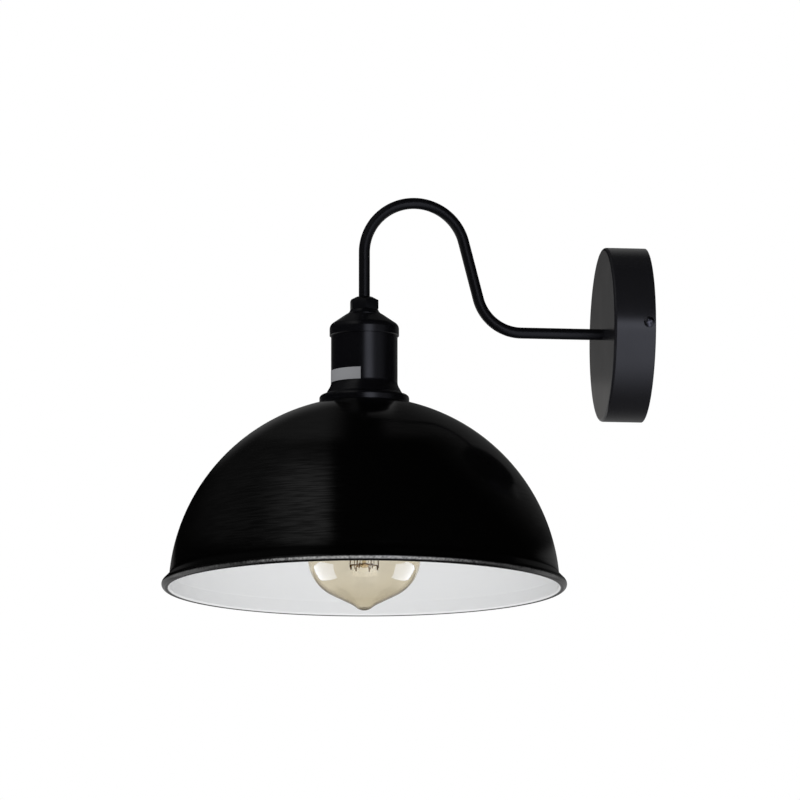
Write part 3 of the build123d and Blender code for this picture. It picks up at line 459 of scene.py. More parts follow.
def screw_tree():
    """A tree that drives a screw at each point of a mesh, along the point's axis.

    The screw has a crowned head with a slot or a cross recess, and each is turned by its own chance angle.
    """
    tree, given, identifiers = new_tree(
        "driven_screws",
        {
            "Head Radius": "Float", "Head Height": "Float", "Crown": "Float", "Shank Radius": "Float",
            "Shank Length": "Float", "Slot Length": "Float", "Slot Width": "Float", "Slot Depth": "Float",
            "Cross": "Bool", "Seed": "Int", "Material": "Material",
        },
    )
    # the head is a disc whose top falls away towards its edge
    crown_power = 2.6
    head_blank = add_node(
        tree, "GeometryNodeMeshCylinder",
        {
            "Vertices": 40, "Side Segments": 1, "Fill Segments": 6,
            "Radius": given["Head Radius"], "Depth": given["Head Height"],
        },
        fill_type="TRIANGLE_FAN",
    )
    half = add_node(
        tree, "ShaderNodeMath", {0: given["Head Height"], 1: 0.5}, operation="MULTIPLY"
    ).outputs[0]
    lift = add_node(tree, "ShaderNodeCombineXYZ", {"Z": half}).outputs[0]
    raised = add_node(
        tree, "GeometryNodeTransform", {"Geometry": head_blank.outputs["Mesh"], "Translation": lift}
    )
    place = add_node(tree, "GeometryNodeInputPosition").outputs[0]
    parts = add_node(tree, "ShaderNodeSeparateXYZ", {0: place}).outputs
    flat = add_node(tree, "ShaderNodeCombineXYZ", {"X": parts["X"], "Y": parts["Y"]}).outputs[0]
    from_axis = add_node(tree, "ShaderNodeVectorMath", {0: flat}, operation="LENGTH").outputs["Value"]
    share = add_node(
        tree, "ShaderNodeMath", {0: from_axis, 1: given["Head Radius"]}, operation="DIVIDE"
    ).outputs[0]
    bowed = add_node(tree, "ShaderNodeMath", {0: share, 1: crown_power}, operation="POWER").outputs[0]
    fall = add_node(tree, "ShaderNodeMath", {0: bowed, 1: given["Crown"]}, operation="MULTIPLY").outputs[0]
    sink = add_node(tree, "ShaderNodeMath", {0: fall, 1: -1.0}, operation="MULTIPLY").outputs[0]
    on_top = add_node(tree, "ShaderNodeMath", {0: parts["Z"], 1: half}, operation="GREATER_THAN").outputs[0]
    crowned = add_node(
        tree, "GeometryNodeSetPosition",
        {
            "Geometry": raised.outputs["Geometry"], "Selection": on_top,
            "Offset": add_node(tree, "ShaderNodeCombineXYZ", {"Z": sink}).outputs[0],
        },
    )
    # the recess is one slot, or two that cross
    deep = add_node(
        tree, "ShaderNodeMath", {0: given["Slot Depth"], 1: 2.0}, operation="MULTIPLY"
    ).outputs[0]
    slot_size = add_node(
        tree, "ShaderNodeCombineXYZ", {"X": given["Slot Length"], "Y": given["Slot Width"], "Z": deep}
    ).outputs[0]
    cutter = add_node(tree, "GeometryNodeMeshCube", {"Size": slot_size}).outputs["Mesh"]
    top = add_node(tree, "ShaderNodeCombineXYZ", {"Z": given["Head Height"]}).outputs[0]
    slot = add_node(tree, "GeometryNodeTransform", {"Geometry": cutter, "Translation": top}).outputs[0]
    crossed = add_node(
        tree, "GeometryNodeTransform",
        {"Geometry": cutter, "Translation": top, "Rotation": (0, 0, math.pi / 2)},
    ).outputs[0]
    second = add_node(
        tree, "GeometryNodeSwitch", {"Switch": given["Cross"], "True": crossed}, input_type="GEOMETRY"
    ).outputs[0]
    cut = add_node(
        tree, "GeometryNodeMeshBoolean",
        {"Mesh 1": crowned.outputs["Geometry"], "Mesh 2": [slot, second], "Self Intersection": True},
        operation="DIFFERENCE", solver="EXACT",
    )
    # the shank hangs below the head
    shank_blank = add_node(
        tree, "GeometryNodeMeshCylinder",
        {"Vertices": 32, "Radius": given["Shank Radius"], "Depth": given["Shank Length"]}, fill_type="NGON",
    )
    below = add_node(
        tree, "ShaderNodeMath", {0: given["Shank Length"], 1: -0.5}, operation="MULTIPLY"
    ).outputs[0]
    shank = add_node(
        tree, "GeometryNodeTransform",
        {
            "Geometry": shank_blank.outputs["Mesh"],
            "Translation": add_node(tree, "ShaderNodeCombineXYZ", {"Z": below}).outputs[0],
        },
    )
    screw = add_node(
        tree, "GeometryNodeJoinGeometry",
        {"Geometry": [cut.outputs["Mesh"], shank.outputs["Geometry"]]},
    )
    # each screw stands along its point's axis
    axis = add_node(tree, "GeometryNodeInputNamedAttribute", {"Name": "axis"}, data_type="FLOAT_VECTOR")
    aimed = add_node(
        tree, "FunctionNodeAlignRotationToVector", {"Vector": axis.outputs["Attribute"]}, axis="Z"
    )
    chance = add_node(
        tree, "FunctionNodeRandomValue", {2: 0.0, 3: math.pi, "Seed": given["Seed"]}, data_type="FLOAT"
    )
    spin = add_node(
        tree, "FunctionNodeAxisAngleToRotation", {"Axis": (0, 0, 1), "Angle": chance.outputs[1]}
    )
    driven = add_node(
        tree, "FunctionNodeRotateRotation",
        {"Rotation": aimed.outputs[0], "Rotate By": spin.outputs[0]}, rotation_space="LOCAL",
    )
    placed = add_node(
        tree, "GeometryNodeInstanceOnPoints",
        {
            "Points": given["Geometry"], "Instance": screw.outputs["Geometry"],
            "Rotation": driven.outputs[0],
        },
    )
    end_tree(tree, placed.outputs["Instances"], given["Material"])
    return tree, identifiers


def point_mesh(places, axis):
    """A mesh of bare points that share an axis or have one each."""
    mesh = bpy.data.meshes.new("points")
    mesh.from_pydata([tuple(p) for p in places], [], [])
    axes = axis if isinstance(axis, list) else [axis] * len(places)
    layer = mesh.attributes.new("axis", "FLOAT_VECTOR", "POINT")
    for item, value in zip(layer.data, axes):
        item.vector = value
    return mesh


def line_mesh(points):
    """A mesh of one line through points."""
    mesh = bpy.data.meshes.new("line")
    mesh.from_pydata([tuple(p) for p in points], [(i, i + 1) for i in range(len(points) - 1)], [])
    return mesh


def smooth_line(points):
    """Points of a smooth NURBS line whose control points are given."""
    data = bpy.data.curves.new("route", "CURVE")
    data.dimensions = "3D"
    spline = data.splines.new("NURBS")
    spline.points.add(len(points) - 1)
    for item, point in zip(spline.points, points):
        item.co = (*point, 1)
    spline.order_u = 3
    spline.use_endpoint_u = True
    spline.resolution_u = 6
    bench = bpy.data.objects.new("bench", data)
    bpy.context.scene.collection.objects.link(bench)
    graph = bpy.context.evaluated_depsgraph_get()
    mesh = bpy.data.meshes.new_from_object(bench.evaluated_get(graph))
    line = [v.co.copy() for v in mesh.vertices]
    bpy.data.objects.remove(bench)
    return line


# Materials
def new_material(name):
    """A material, its tree and its shader."""
    material = bpy.data.materials.new(name)
    material.use_nodes = True
    tree = material.node_tree
    return material, tree, tree.nodes["Principled BSDF"]


def set_inputs(shader, **values):
    """Sets constants on the shader's own sockets."""
    for key, value in values.items():
        socket = shader.inputs[key.replace("_", " ")]
        socket.default_value = (*value, 1) if socket.type == "RGBA" else value


def shade_finish(finish):
    """Stove lacquer on spun steel: near black and glossy, with the faint rings that the spinning leaves.

    The inside is white enamel with a soft sheen, and the grey painted on the bead's front, towards the
    camera, is a painted highlight.
    """
    material, tree, shader = new_material("stove_lacquer_on_spun_steel")
    set_inputs(shader, IOR=1.5)
    coordinates = add_node(tree, "ShaderNodeTexCoord").outputs
    inside, rubbed, groove = (
        add_node(tree, "ShaderNodeAttribute", attribute_name=mark).outputs["Fac"]
        for mark in ("enamel", "rubbed", "groove")
    )

    # spinning leaves rings about 0.4 mm apart, deepest low on the dome where the sheet stretches most;
    # they are drawn about 1 mm apart so that they show
    ring_spacing, ring_length, ring_height = 1.0 * mm, 18 * mm, 0.03 * mm
    no_ring, crown_share = 0.5, 0.1
    crown, foot = box_top("shade"), box_bottom("shade")
    place = add_node(tree, "ShaderNodeSeparateXYZ", {0: coordinates["Object"]}).outputs
    travel = add_node(tree, "ShaderNodeSeparateXYZ", {0: coordinates["UV"]}).outputs["Y"]
    rings = add_node(
        tree, "ShaderNodeCombineXYZ", {"X": place["X"], "Y": place["Y"], "Z": travel}
    ).outputs[0]
    fine = add_node(
        tree, "ShaderNodeVectorMath",
        {0: rings, 1: (1 / ring_length, 1 / ring_length, 1 / ring_spacing)}, operation="MULTIPLY",
    ).outputs[0]
    ring = add_node(tree, "ShaderNodeTexNoise", {"Vector": fine, "Scale": 1, "Detail": 3}).outputs["Fac"]
    depth = add_node(
        tree, "ShaderNodeMapRange",
        {"Value": place["Z"], "From Min": crown, "From Max": (crown + foot) / 2, "To Min": crown_share},
    ).outputs["Result"]
    streak = add_node(
        tree, "ShaderNodeMix", {0: depth, 2: no_ring, 3: ring}, data_type="FLOAT"
    ).outputs[0]

    # the bead's painted highlight comes in long stretches and is broken by flecks
    glint_stretch, fleck_size = 100 * mm, 2 * mm
    broad = add_node(
        tree, "ShaderNodeTexNoise",
        {"Vector": coordinates["Object"], "Scale": 1 / glint_stretch, "Detail": 1},
    ).outputs["Fac"]
    fleck = add_node(
        tree, "ShaderNodeTexNoise",
        {"Vector": coordinates["Object"], "Scale": 1 / fleck_size, "Detail": 3, "Roughness": 0.7},
    ).outputs["Fac"]
    glint_noise = add_node(tree, "ShaderNodeMath", {0: broad, 1: fleck}, operation="ADD").outputs[0]
    patchy_glint = add_node(
        tree, "ShaderNodeMapRange", {"Value": glint_noise, "From Min": 0.8, "From Max": 1.25, "To Min": 0.03}
    ).outputs["Result"]

    # most of it lies on the side of the bead that faces the camera, where the grey stands for a glint: a
    # painted highlight
    glint_bearing = math.radians(82)
    side = Vector((math.sin(glint_bearing), -math.cos(glint_bearing), 0))
    middle, radius = head.dot(side), box_radius("shade")
    glint_from, glint_fully = middle + 0.8 * radius, middle + 0.95 * radius
    toward_glint = add_node(
        tree, "ShaderNodeVectorMath", {0: coordinates["Object"], 1: side}, operation="DOT_PRODUCT"
    ).outputs["Value"]
    glint_side = add_node(
        tree, "ShaderNodeMapRange",
        {"Value": toward_glint, "From Min": glint_from, "From Max": glint_fully, "To Min": 0.12},
    ).outputs["Result"]
    glint_patches = add_node(tree, "ShaderNodeMath", {0: patchy_glint, 1: glint_side}, operation="MULTIPLY").outputs[0]
    glint_mask = add_node(tree, "ShaderNodeMath", {0: rubbed, 1: glint_patches}, operation="MULTIPLY").outputs[0]

    # painted highlight: grey mixed into the lacquer on the bead's front
    dark = add_node(
        tree, "ShaderNodeMix", {0: glint_mask, 6: (*finish.lacquer, 1), 7: (*finish.painted_glint, 1)}, data_type="RGBA"
    ).outputs[2]
    both = add_node(
        tree, "ShaderNodeMix", {0: inside, 6: dark, 7: (*finish.enamel, 1)}, data_type="RGBA"
    ).outputs[2]
    tree.links.new(both, shader.inputs["Base Color"])

    # each ring is a little duller or brighter than the next, and the groove behind the bead has a lower
    # sheen, which darkens it
    enamel_roughness, groove_sheen = 0.45, 0.06
    gloss = add_node(
        tree, "ShaderNodeMapRange",
        {"Value": streak, "From Min": 0.3, "From Max": 0.7, "To Min": 0.1, "To Max": 0.17},
    ).outputs["Result"]
    rough = add_node(
        tree, "ShaderNodeMix", {0: inside, 2: gloss, 3: enamel_roughness}, data_type="FLOAT"
    ).outputs[0]
    tree.links.new(rough, shader.inputs["Roughness"])
    sheen = add_node(
        tree, "ShaderNodeMapRange",
        {"Value": streak, "From Min": 0.38, "From Max": 0.62, "To Min": 0.28, "To Max": 0.72},
    ).outputs["Result"]
    dulled = add_node(
        tree, "ShaderNodeMix", {0: groove, 2: sheen, 3: groove_sheen}, data_type="FLOAT"
    ).outputs[0]
    tree.links.new(dulled, shader.inputs["Specular IOR Level"])
    bump = add_node(tree, "ShaderNodeBump", {"Height": streak, "Strength": 0.4, "Distance": ring_height})
    tree.links.new(bump.outputs["Normal"], shader.inputs["Normal"])
    return material


def satin_paint(name, tone, roughness, gloss=0.5):
    """Powder paint on steel: soft black with a fine orange peel that breaks the edge of each highlight."""
    if name in bpy.data.materials:
        return bpy.data.materials[name]
    peel_size, peel_height = 1.2 * mm, 0.03 * mm
    cloud_size, cloudiness = 25 * mm, 0.17
    material, tree, shader = new_material(name)
    set_inputs(shader, Base_Color=tone, IOR=1.5, Specular_IOR_Level=gloss)
    place = add_node(tree, "ShaderNodeTexCoord").outputs["Object"]
    peel = add_node(tree, "ShaderNodeTexNoise", {"Vector": place, "Scale": 1 / peel_size, "Detail": 2})
    cloud = add_node(tree, "ShaderNodeTexNoise", {"Vector": place, "Scale": 1 / cloud_size, "Detail": 2})
    rough = add_node(
        tree, "ShaderNodeMapRange",
        {
            "Value": cloud.outputs["Fac"],
            "To Min": roughness * (1 - cloudiness), "To Max": roughness * (1 + cloudiness),
        },
    )
    tree.links.new(rough.outputs["Result"], shader.inputs["Roughness"])
    bump = add_node(
        tree, "ShaderNodeBump", {"Height": peel.outputs["Fac"], "Strength": 0.2, "Distance": peel_height}
    )
    tree.links.new(bump.outputs["Normal"], shader.inputs["Normal"])
    return material


def arm_paint(finish):
    """The duller paint of the arm and its nut."""
    return satin_paint("matt_black_powder_paint", finish.paint, roughness=0.38, gloss=0.33)


def metal(name, tone, roughness, scuff_size):
    """Drawn, stamped or plated metal: bright, with fine scuffs that blur the reflection unevenly.

    scuff_size is the size of a scuff in millimetres.
    """
    if name in bpy.data.materials:
        return bpy.data.materials[name]
    unevenness = 0.3
    material, tree, shader = new_material(name)
    set_inputs(shader, Base_Color=tone, Metallic=1.0)
    place = add_node(tree, "ShaderNodeTexCoord").outputs["Object"]
    scuff = add_node(
        tree, "ShaderNodeTexNoise", {"Vector": place, "Scale": 1 / (scuff_size * mm), "Detail": 4}
    )
    rough = add_node(
        tree, "ShaderNodeMapRange",
        {
            "Value": scuff.outputs["Fac"],
            "To Min": roughness * (1 - unevenness), "To Max": roughness * (1 + unevenness),
        },
    )
    tree.links.new(rough.outputs["Result"], shader.inputs["Roughness"])
    return material


def zinc_plate(finish):
    """Bright zinc on the steel fittings."""
    return metal("bright_zinc_plate", finish.zinc, roughness=0.35, scuff_size=4)


def stamped_brass(finish):
    """Brass of the parts that carry the current."""
    return metal("stamped_brass", finish.brass, roughness=0.28, scuff_size=3)


def moulding(name, tone, roughness, skin_size, stripe=None):
    """Moulded or extruded plastic, or fired clay: even colour, soft sheen and a fine skin.

    skin_size is the grain of the skin in millimetres. A stripe runs along a lead, over part of its round.
    """
    if name in bpy.data.materials:
        return bpy.data.materials[name]
    skin_height, stripe_share = 0.05 * mm, 0.4
    material, tree, shader = new_material(name)
    set_inputs(shader, Base_Color=tone, Roughness=roughness, IOR=1.5)
    place = add_node(tree, "ShaderNodeTexCoord").outputs["Object"]
    skin = add_node(
        tree, "ShaderNodeTexNoise", {"Vector": place, "Scale": 1 / (skin_size * mm), "Detail": 3}
    )
    bump = add_node(
        tree, "ShaderNodeBump", {"Height": skin.outputs["Fac"], "Strength": 0.2, "Distance": skin_height}
    )
    tree.links.new(bump.outputs["Normal"], shader.inputs["Normal"])
    if stripe:
        around = add_node(tree, "ShaderNodeAttribute", attribute_name="around").outputs["Fac"]
        share = add_node(
            tree, "ShaderNodeMath", {0: around, 1: stripe_share}, operation="LESS_THAN"
        ).outputs[0]
        both = add_node(
            tree, "ShaderNodeMix", {0: share, 6: (*tone, 1), 7: (*stripe, 1)}, data_type="RGBA"
        ).outputs[2]
        tree.links.new(both, shader.inputs["Base Color"])
    return material


def glass(name, tone, depth):
    """Blown or drawn glass: sharp reflections, and a tint that deepens where one looks along the wall.

    depth is the thickness in millimetres over which the tint builds up.
    """
    material, tree, shader = new_material(name)
    set_inputs(shader, Base_Color=(1, 1, 1), Roughness=0.0, IOR=1.5, Transmission_Weight=1.0)
    tint = add_node(tree, "ShaderNodeVolumeAbsorption", {"Color": (*tone, 1), "Density": 1 / (depth * mm)})
    tree.links.new(tint.outputs["Volume"], tree.nodes["Material Output"].inputs["Volume"])
    return material


# Operators
class LAMP_OT_shade(bpy.types.Operator):
    """Spins the shade: flat seat, dome, lip and rolled bead"""

    bl_idname = "lamp.make_shade"
    bl_label = "Shade"

    def execute(self, context):
        sizes, finish = context.scene.lamp_sizes, context.scene.lamp_finish
        half = sizes.shade_sheet / 2
        dome = sizes.dome_radius - half
        level = box_top("shade") - half
        bead = sizes.bead_radius - half
        bead_centre = Vector((
            box_radius("shade") - sizes.bead_radius, box_bottom("shade") + sizes.bead_radius
        ))
        seat_edge = Vector((sizes.seat_radius, level))
        dome_centre = Vector((0, level - math.sqrt(dome**2 - sizes.seat_radius**2)))
        # the lip runs back from the bead, square to its radius, until it meets the dome
        slope = Vector((math.sin(sizes.lip_angle), -math.cos(sizes.lip_angle)))
        lip_end = bead_centre + bead * Vector((math.cos(sizes.lip_angle), math.sin(sizes.lip_angle)))
        away = lip_end - dome_centre
        along = away.dot(slope)
        lip_start = lip_end - slope * (along - math.sqrt(along**2 - away.length_squared + dome**2))
        top_turn = math.acos(sizes.seat_radius / dome)
        lip_turn = math.atan2(lip_start.y - dome_centre.y, lip_start.x)
        dome_line = arc(
            dome_centre, dome, top_turn - sizes.seat_blend / dome, lip_turn + sizes.lip_blend / dome,
            steps=64,
        )
        line = [Vector((sizes.shade_hole, level))]
        line += eased(seat_edge - Vector((sizes.seat_blend, 0)), seat_edge, dome_line[0])
        line += dome_line[1:-1]
        lip_from = len(line)
        line += eased(dome_line[-1], lip_start, lip_start + slope * sizes.lip_blend)
        roll_from = len(line)
        line += arc(bead_centre, bead, sizes.lip_angle, sizes.lip_angle - sizes.bead_wrap, steps=40)
        outside, within = sheet_sides(line, sizes.shade_sheet)

        def share_of_roll(i, start, end):
            """How far a point lies between two angles round the bead, in degrees."""
            if i < roll_from:
                return 0.0
            turn = sizes.lip_angle - sizes.bead_wrap * (i - roll_from) / (len(line) - 1 - roll_from)
            return clamped((math.degrees(turn) - start) / (end - start))

        # the enamel fills the groove behind the bead, so the inside runs smoothly down to it
        filled = 4
        inside = within[: roll_from - filled]
        # angles round the bead, in degrees, between which a finish comes or goes
        enamel_comes, glint_comes, glint_goes, groove_goes = (-112, -124), (3, -14), (-24, -46), (30, 5)
        count, none = range(len(line)), [0.0] * len(inside)
        marks = {
            "enamel": [share_of_roll(i, *enamel_comes) for i in count] + [1.0] * len(inside),
            # the band round the bead that takes the painted highlight
            "rubbed": [share_of_roll(i, *glint_comes) - share_of_roll(i, *glint_goes) for i in count] + none,
            "groove": [float(i >= lip_from) - share_of_roll(i, *groove_goes) for i in count] + none,
        }
        mesh = lathe("shade_spun", outside + inside[::-1], segments=224, marks=marks)
        add_piece("shade_spun", mesh, "lamp", "gloss_black_lacquer", shade_finish(finish), "shade")
        return {"FINISHED"}


def swan_neck(sizes, aside, leg_end):
    """Line of the arm, at a distance aside from its plane, from the canopy's face to the height leg_end."""
    arch = Vector((sizes.arch_radius - reach, box_top("arm_tube") - tube_radius - sizes.arch_radius))
    lean_sin, lean_cos = math.sin(sizes.arm_lean), math.cos(sizes.arm_lean)
    bends = sizes.root_radius + sizes.arch_radius
    rise = (arch.y + sizes.arch_radius - bends * (1 - lean_sin)) / lean_cos
    run = reach - canopy_depth - sizes.arch_radius - bends * lean_cos - rise * lean_sin
    root = Vector((-canopy_depth - run, sizes.root_radius))
    line = [Vector((-canopy_depth, 0))]
    line += arc(root, sizes.root_radius, -math.pi / 2, sizes.arm_lean - math.pi, steps=40)
    line += arc(arch, sizes.arch_radius, sizes.arm_lean, math.pi, steps=72)
    line.append(Vector((-reach, leg_end)))
    return [Vector((aside, y, z)) for y, z in line]


class LAMP_OT_arm(bpy.types.Operator):
    """Bends the swan neck from one tube"""

    bl_idname = "lamp.make_arm"
    bl_label = "Swan neck"

    def execute(self, context):
        sizes, finish = context.scene.lamp_sizes, context.scene.lamp_finish
        paint = arm_paint(finish)
        tree, identifiers = tube_tree()
        line = line_mesh(swan_neck(sizes, 0, box_bottom("arm_tube")))
        mesh = run_tree(
            "swan_neck", line, tree, identifiers, {"Radius": tube_radius, "Sides": 48, "Material": paint}
        )
        add_piece("swan_neck", mesh, "lamp", "satin_black_paint", paint, "arm_tube")
        return {"FINISHED"}


class LAMP_OT_head(bpy.types.Operator):
    """Turns the hex nut and its flared washer, and spins the cap and the cup over the lampholder"""

    bl_idname = "lamp.make_head"
    bl_label = "Head"

    def execute(self, context):
        sizes, finish = context.scene.lamp_sizes, context.scene.lamp_finish
        paint = satin_paint("satin_black_powder_paint", finish.paint, roughness=0.24)
        matt = arm_paint(finish)
        bore = box_radius("threaded_sleeve")
        half = sizes.shell_sheet / 2
        blunt = half * end_bluntness

        # hex nut
        nut_low, nut_top = box_bottom("hex_nut"), box_top("hex_nut")
        flat = sizes.hex_flats / 2
        corner_slope = math.radians(30)

        def nut_outline(turn):
            """Section of the nut: a cone on the top and the corners turned off below."""
            edge = flat / math.cos(turn % (math.pi / 3) - math.pi / 6)
            return [
                (bore, nut_top),
                (sizes.hex_crown, nut_top),
                (edge, nut_top - (edge - sizes.hex_crown) * math.tan(sizes.hex_slope)),
                (edge, nut_low + (edge - flat) * math.tan(corner_slope)),
                (flat, nut_low),
                (bore, nut_low),
            ]

        nut = bevelled(lathe("hex_nut_turned", nut_outline), width=0.3 * mm)
        add_piece("hex_nut_turned", nut, "lamp", "satin_black_paint", matt, "hex_nut")

        # washer, hollowed between a thin foot and its top
        low, high = box_bottom("cone_washer"), box_top("cone_washer")
        foot = Vector((box_radius("cone_washer"), low + 0.4 * mm))
        hollow = Vector((sizes.washer_top + 0.7 * mm, low + 1.3 * mm))
        brow = Vector((sizes.washer_top, high))
        flare = eased(foot, hollow, brow)
        washer = lathe("flared_washer", [(bore, low), (foot.x, low), *flare, (bore, high)])
        add_piece("flared_washer", washer, "lamp", "satin_black_paint", paint, "cone_washer")

        # cap over the cup
        top, low = box_top("holder_cap") - half, box_bottom("holder_cap")
        cap_mid = box_radius("holder_cap") - half
        line = rounded(
            [
                (bore, top),
                (sizes.cap_crown, top),
                (cap_mid, box_top("holder_cap") - sizes.cap_cone),
                (cap_mid, low + blunt),
            ],
            [sizes.crown_round, sizes.shoulder_round],
        )
        cap = lathe("holder_cap_spun", sheet_loop(line, sizes.shell_sheet), segments=128)
        add_piece("holder_cap_spun", cap, "lamp", "satin_black_paint", paint, "holder_cap")

        # cup, which slips into the cap
        slip, foot_rounds = 0.05 * mm, (3 * mm, 2 * mm)
        low, high = box_bottom("holder_cup"), box_top("holder_cup")
        cup_mid = cap_mid - sizes.shell_sheet - slip
        foot_mid = box_radius("holder_cup") - half
        foot_top = low + sizes.foot_height - half
        line = rounded(
            [
                (cup_mid, high - blunt),
                (cup_mid, foot_top + sizes.flare_height),
                (cup_mid + sizes.flare_width, foot_top + sizes.foot_fall),
                (foot_mid, foot_top),
                (foot_mid, low + blunt),
            ],
            [sizes.flare_round, *foot_rounds],
        )
        cup = lathe("holder_cup_spun", sheet_loop(line, sizes.shell_sheet), segments=128)
        add_piece("holder_cup_spun", cup, "lamp", "satin_black_paint", paint, "holder_cup")

        # bare foil round part of the cup, kept out of the mirror images in the black pieces below it
        film, edge = 0.12 * mm, 0.05 * mm
        foil_span = (math.radians(-105), math.radians(-14))
        skin = cup_mid + half
        high = sizes.foil_top
        low = high - sizes.foil_height
        section = [
            (skin, low), (skin + film, low + edge), (skin + film, high - edge), (skin, high),
            (skin - edge, high), (skin - edge, low),
        ]
        patch = lathe("bare_foil", section, segments=48, span=foil_span, sharp=60)
        foil = moulding("silver_film", finish.foil, roughness=0.4, skin_size=1.5)
        film_piece = add_piece("bare_foil", patch, "lamp", "zinc_plated_steel", foil)
        film_piece.visible_glossy = False
        return {"FINISHED"}


class LAMP_OT_canopy(bpy.types.Operator):
    """Spins the canopy that covers the bracket on the wall, and drives its two side screws"""

    bl_idname = "lamp.make_canopy"
    bl_label = "Canopy"

    def execute(self, context):
        sizes, finish = context.scene.lamp_sizes, context.scene.lamp_finish
        half = sizes.canopy_sheet / 2
        radius = box_radius("canopy") - half
        line = rounded(
            [
                (sizes.canopy_hole, canopy_depth - half),
                (radius, canopy_depth - half),
                (radius, half * end_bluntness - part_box("canopy")[1].y),
            ],
            [sizes.canopy_edge - half],
        )
        mesh = lathe(
            "canopy_spun", sheet_loop(line, sizes.canopy_sheet), Vector(), out_of_wall, segments=192
        )
        # the same satin black as the head, painted lighter: painted light on the canopy
        paint = satin_paint("satin_black_powder_paint_lit", finish.lit_canopy_paint, roughness=0.24)
        add_piece("canopy_spun", mesh, "lamp", "satin_black_paint", paint, "canopy")

        low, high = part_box("canopy_screws")
        middle = (low + high) / 2
        head_radius = (high.z - low.z) / 2
        seat = box_radius("canopy")
        places = [Vector((side * seat, middle.y, middle.z)) for side in (-1, 1)]
        axes = [Vector((side, 0, 0)) for side in (-1, 1)]
        tree, identifiers = screw_tree()
        oxide = metal("black_oxide_steel", finish.oxide, roughness=0.35, scuff_size=1)
        mesh = run_tree(
            "canopy_screws_driven", point_mesh(places, axes), tree, identifiers,
            {
                "Head Radius": head_radius, "Head Height": high.x - seat, "Crown": 1.1 * mm,
                "Shank Radius": 2 * mm, "Shank Length": 8 * mm, "Slot Length": 4.2 * mm,
                "Slot Width": 0.9 * mm, "Slot Depth": 1.3 * mm, "Cross": True, "Seed": 4, "Material": oxide,
            },
        )
        add_piece("canopy_screws_driven", mesh, "lamp", "blackened_steel", oxide, "canopy_screws")
        return {"FINISHED"}


class LAMP_OT_wall_fittings(bpy.types.Operator):
    """Finishes the bracket, the terminal block and the fastening of the arm behind the canopy"""

    bl_idname = "lamp.make_wall_fittings"
    bl_label = "Wall fittings"

    def execute(self, context):
        finish = context.scene.lamp_finish
        zinc = zinc_plate(finish)
        for node in ("wall_bracket", "arm_nipple", "star_washer", "root_nut"):
            smooth_copy(node, "lamp", "zinc_plated_steel", zinc)
        tin = metal("tinned_copper", finish.tin, roughness=0.3, scuff_size=2)
        smooth_copy("earth_lug", "lamp", "tinned_copper", tin)
        smooth_copy("terminal_clamps", "lamp", "brass", stamped_brass(finish))
        block = moulding("white_polyamide", finish.polyamide, roughness=0.5, skin_size=0.6)
        smooth_copy("terminal_block", "lamp", "white_polyamide", block)
        nylon = moulding("black_nylon", finish.bakelite, roughness=0.45, skin_size=0.6)
        smooth_copy("wire_bush", "lamp", "black_nylon", nylon)

        tree, identifiers = screw_tree()

        def drive(node, radius, height, shank, slot, cross, seed, columns, rows):
            """Stands for screws that are driven towards the wall, at each column and row.

            slot is the length of the slot, as a share of the head's width.
            """
            low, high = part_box(node)
            places = [Vector((x, low.y + height, z)) for x in columns for z in rows]
            mesh = run_tree(
                node + "_driven", point_mesh(places, out_of_wall), tree, identifiers,
                {
                    "Head Radius": radius, "Head Height": height, "Crown": height * 0.35,
                    "Shank Radius": shank, "Shank Length": high.y - low.y - height,
                    "Slot Length": slot * 2 * radius, "Slot Width": 0.25 * radius,
                    "Slot Depth": height * 0.5, "Cross": cross, "Seed": seed, "Material": zinc,
                },
            )
            add_piece(node + "_driven", mesh, "lamp", "zinc_plated_steel", zinc, node)

        low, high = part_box("terminal_block_screws")
        radius = clamp_screw_radius
        drive(
            "terminal_block_screws", radius, height=1.2 * mm, shank=radius * 0.98,
            slot=1.2, cross=False, seed=2,
            columns=[low.x + radius, (low.x + high.x) / 2, high.x - radius],
            rows=[low.z + radius, high.z - radius],
        )
        fixings = (("earth_screw", 2.6 * mm, 2 * mm, 5), ("block_fixing_screw", 1.8 * mm, 1.25 * mm, 9))
        for node, height, shank, seed in fixings:
            low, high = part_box(node)
            middle = (low + high) / 2
            drive(
                node, box_radius(node), height, shank, slot=0.62, cross=True, seed=seed,
                columns=[middle.x], rows=[middle.z],
            )
        return {"FINISHED"}


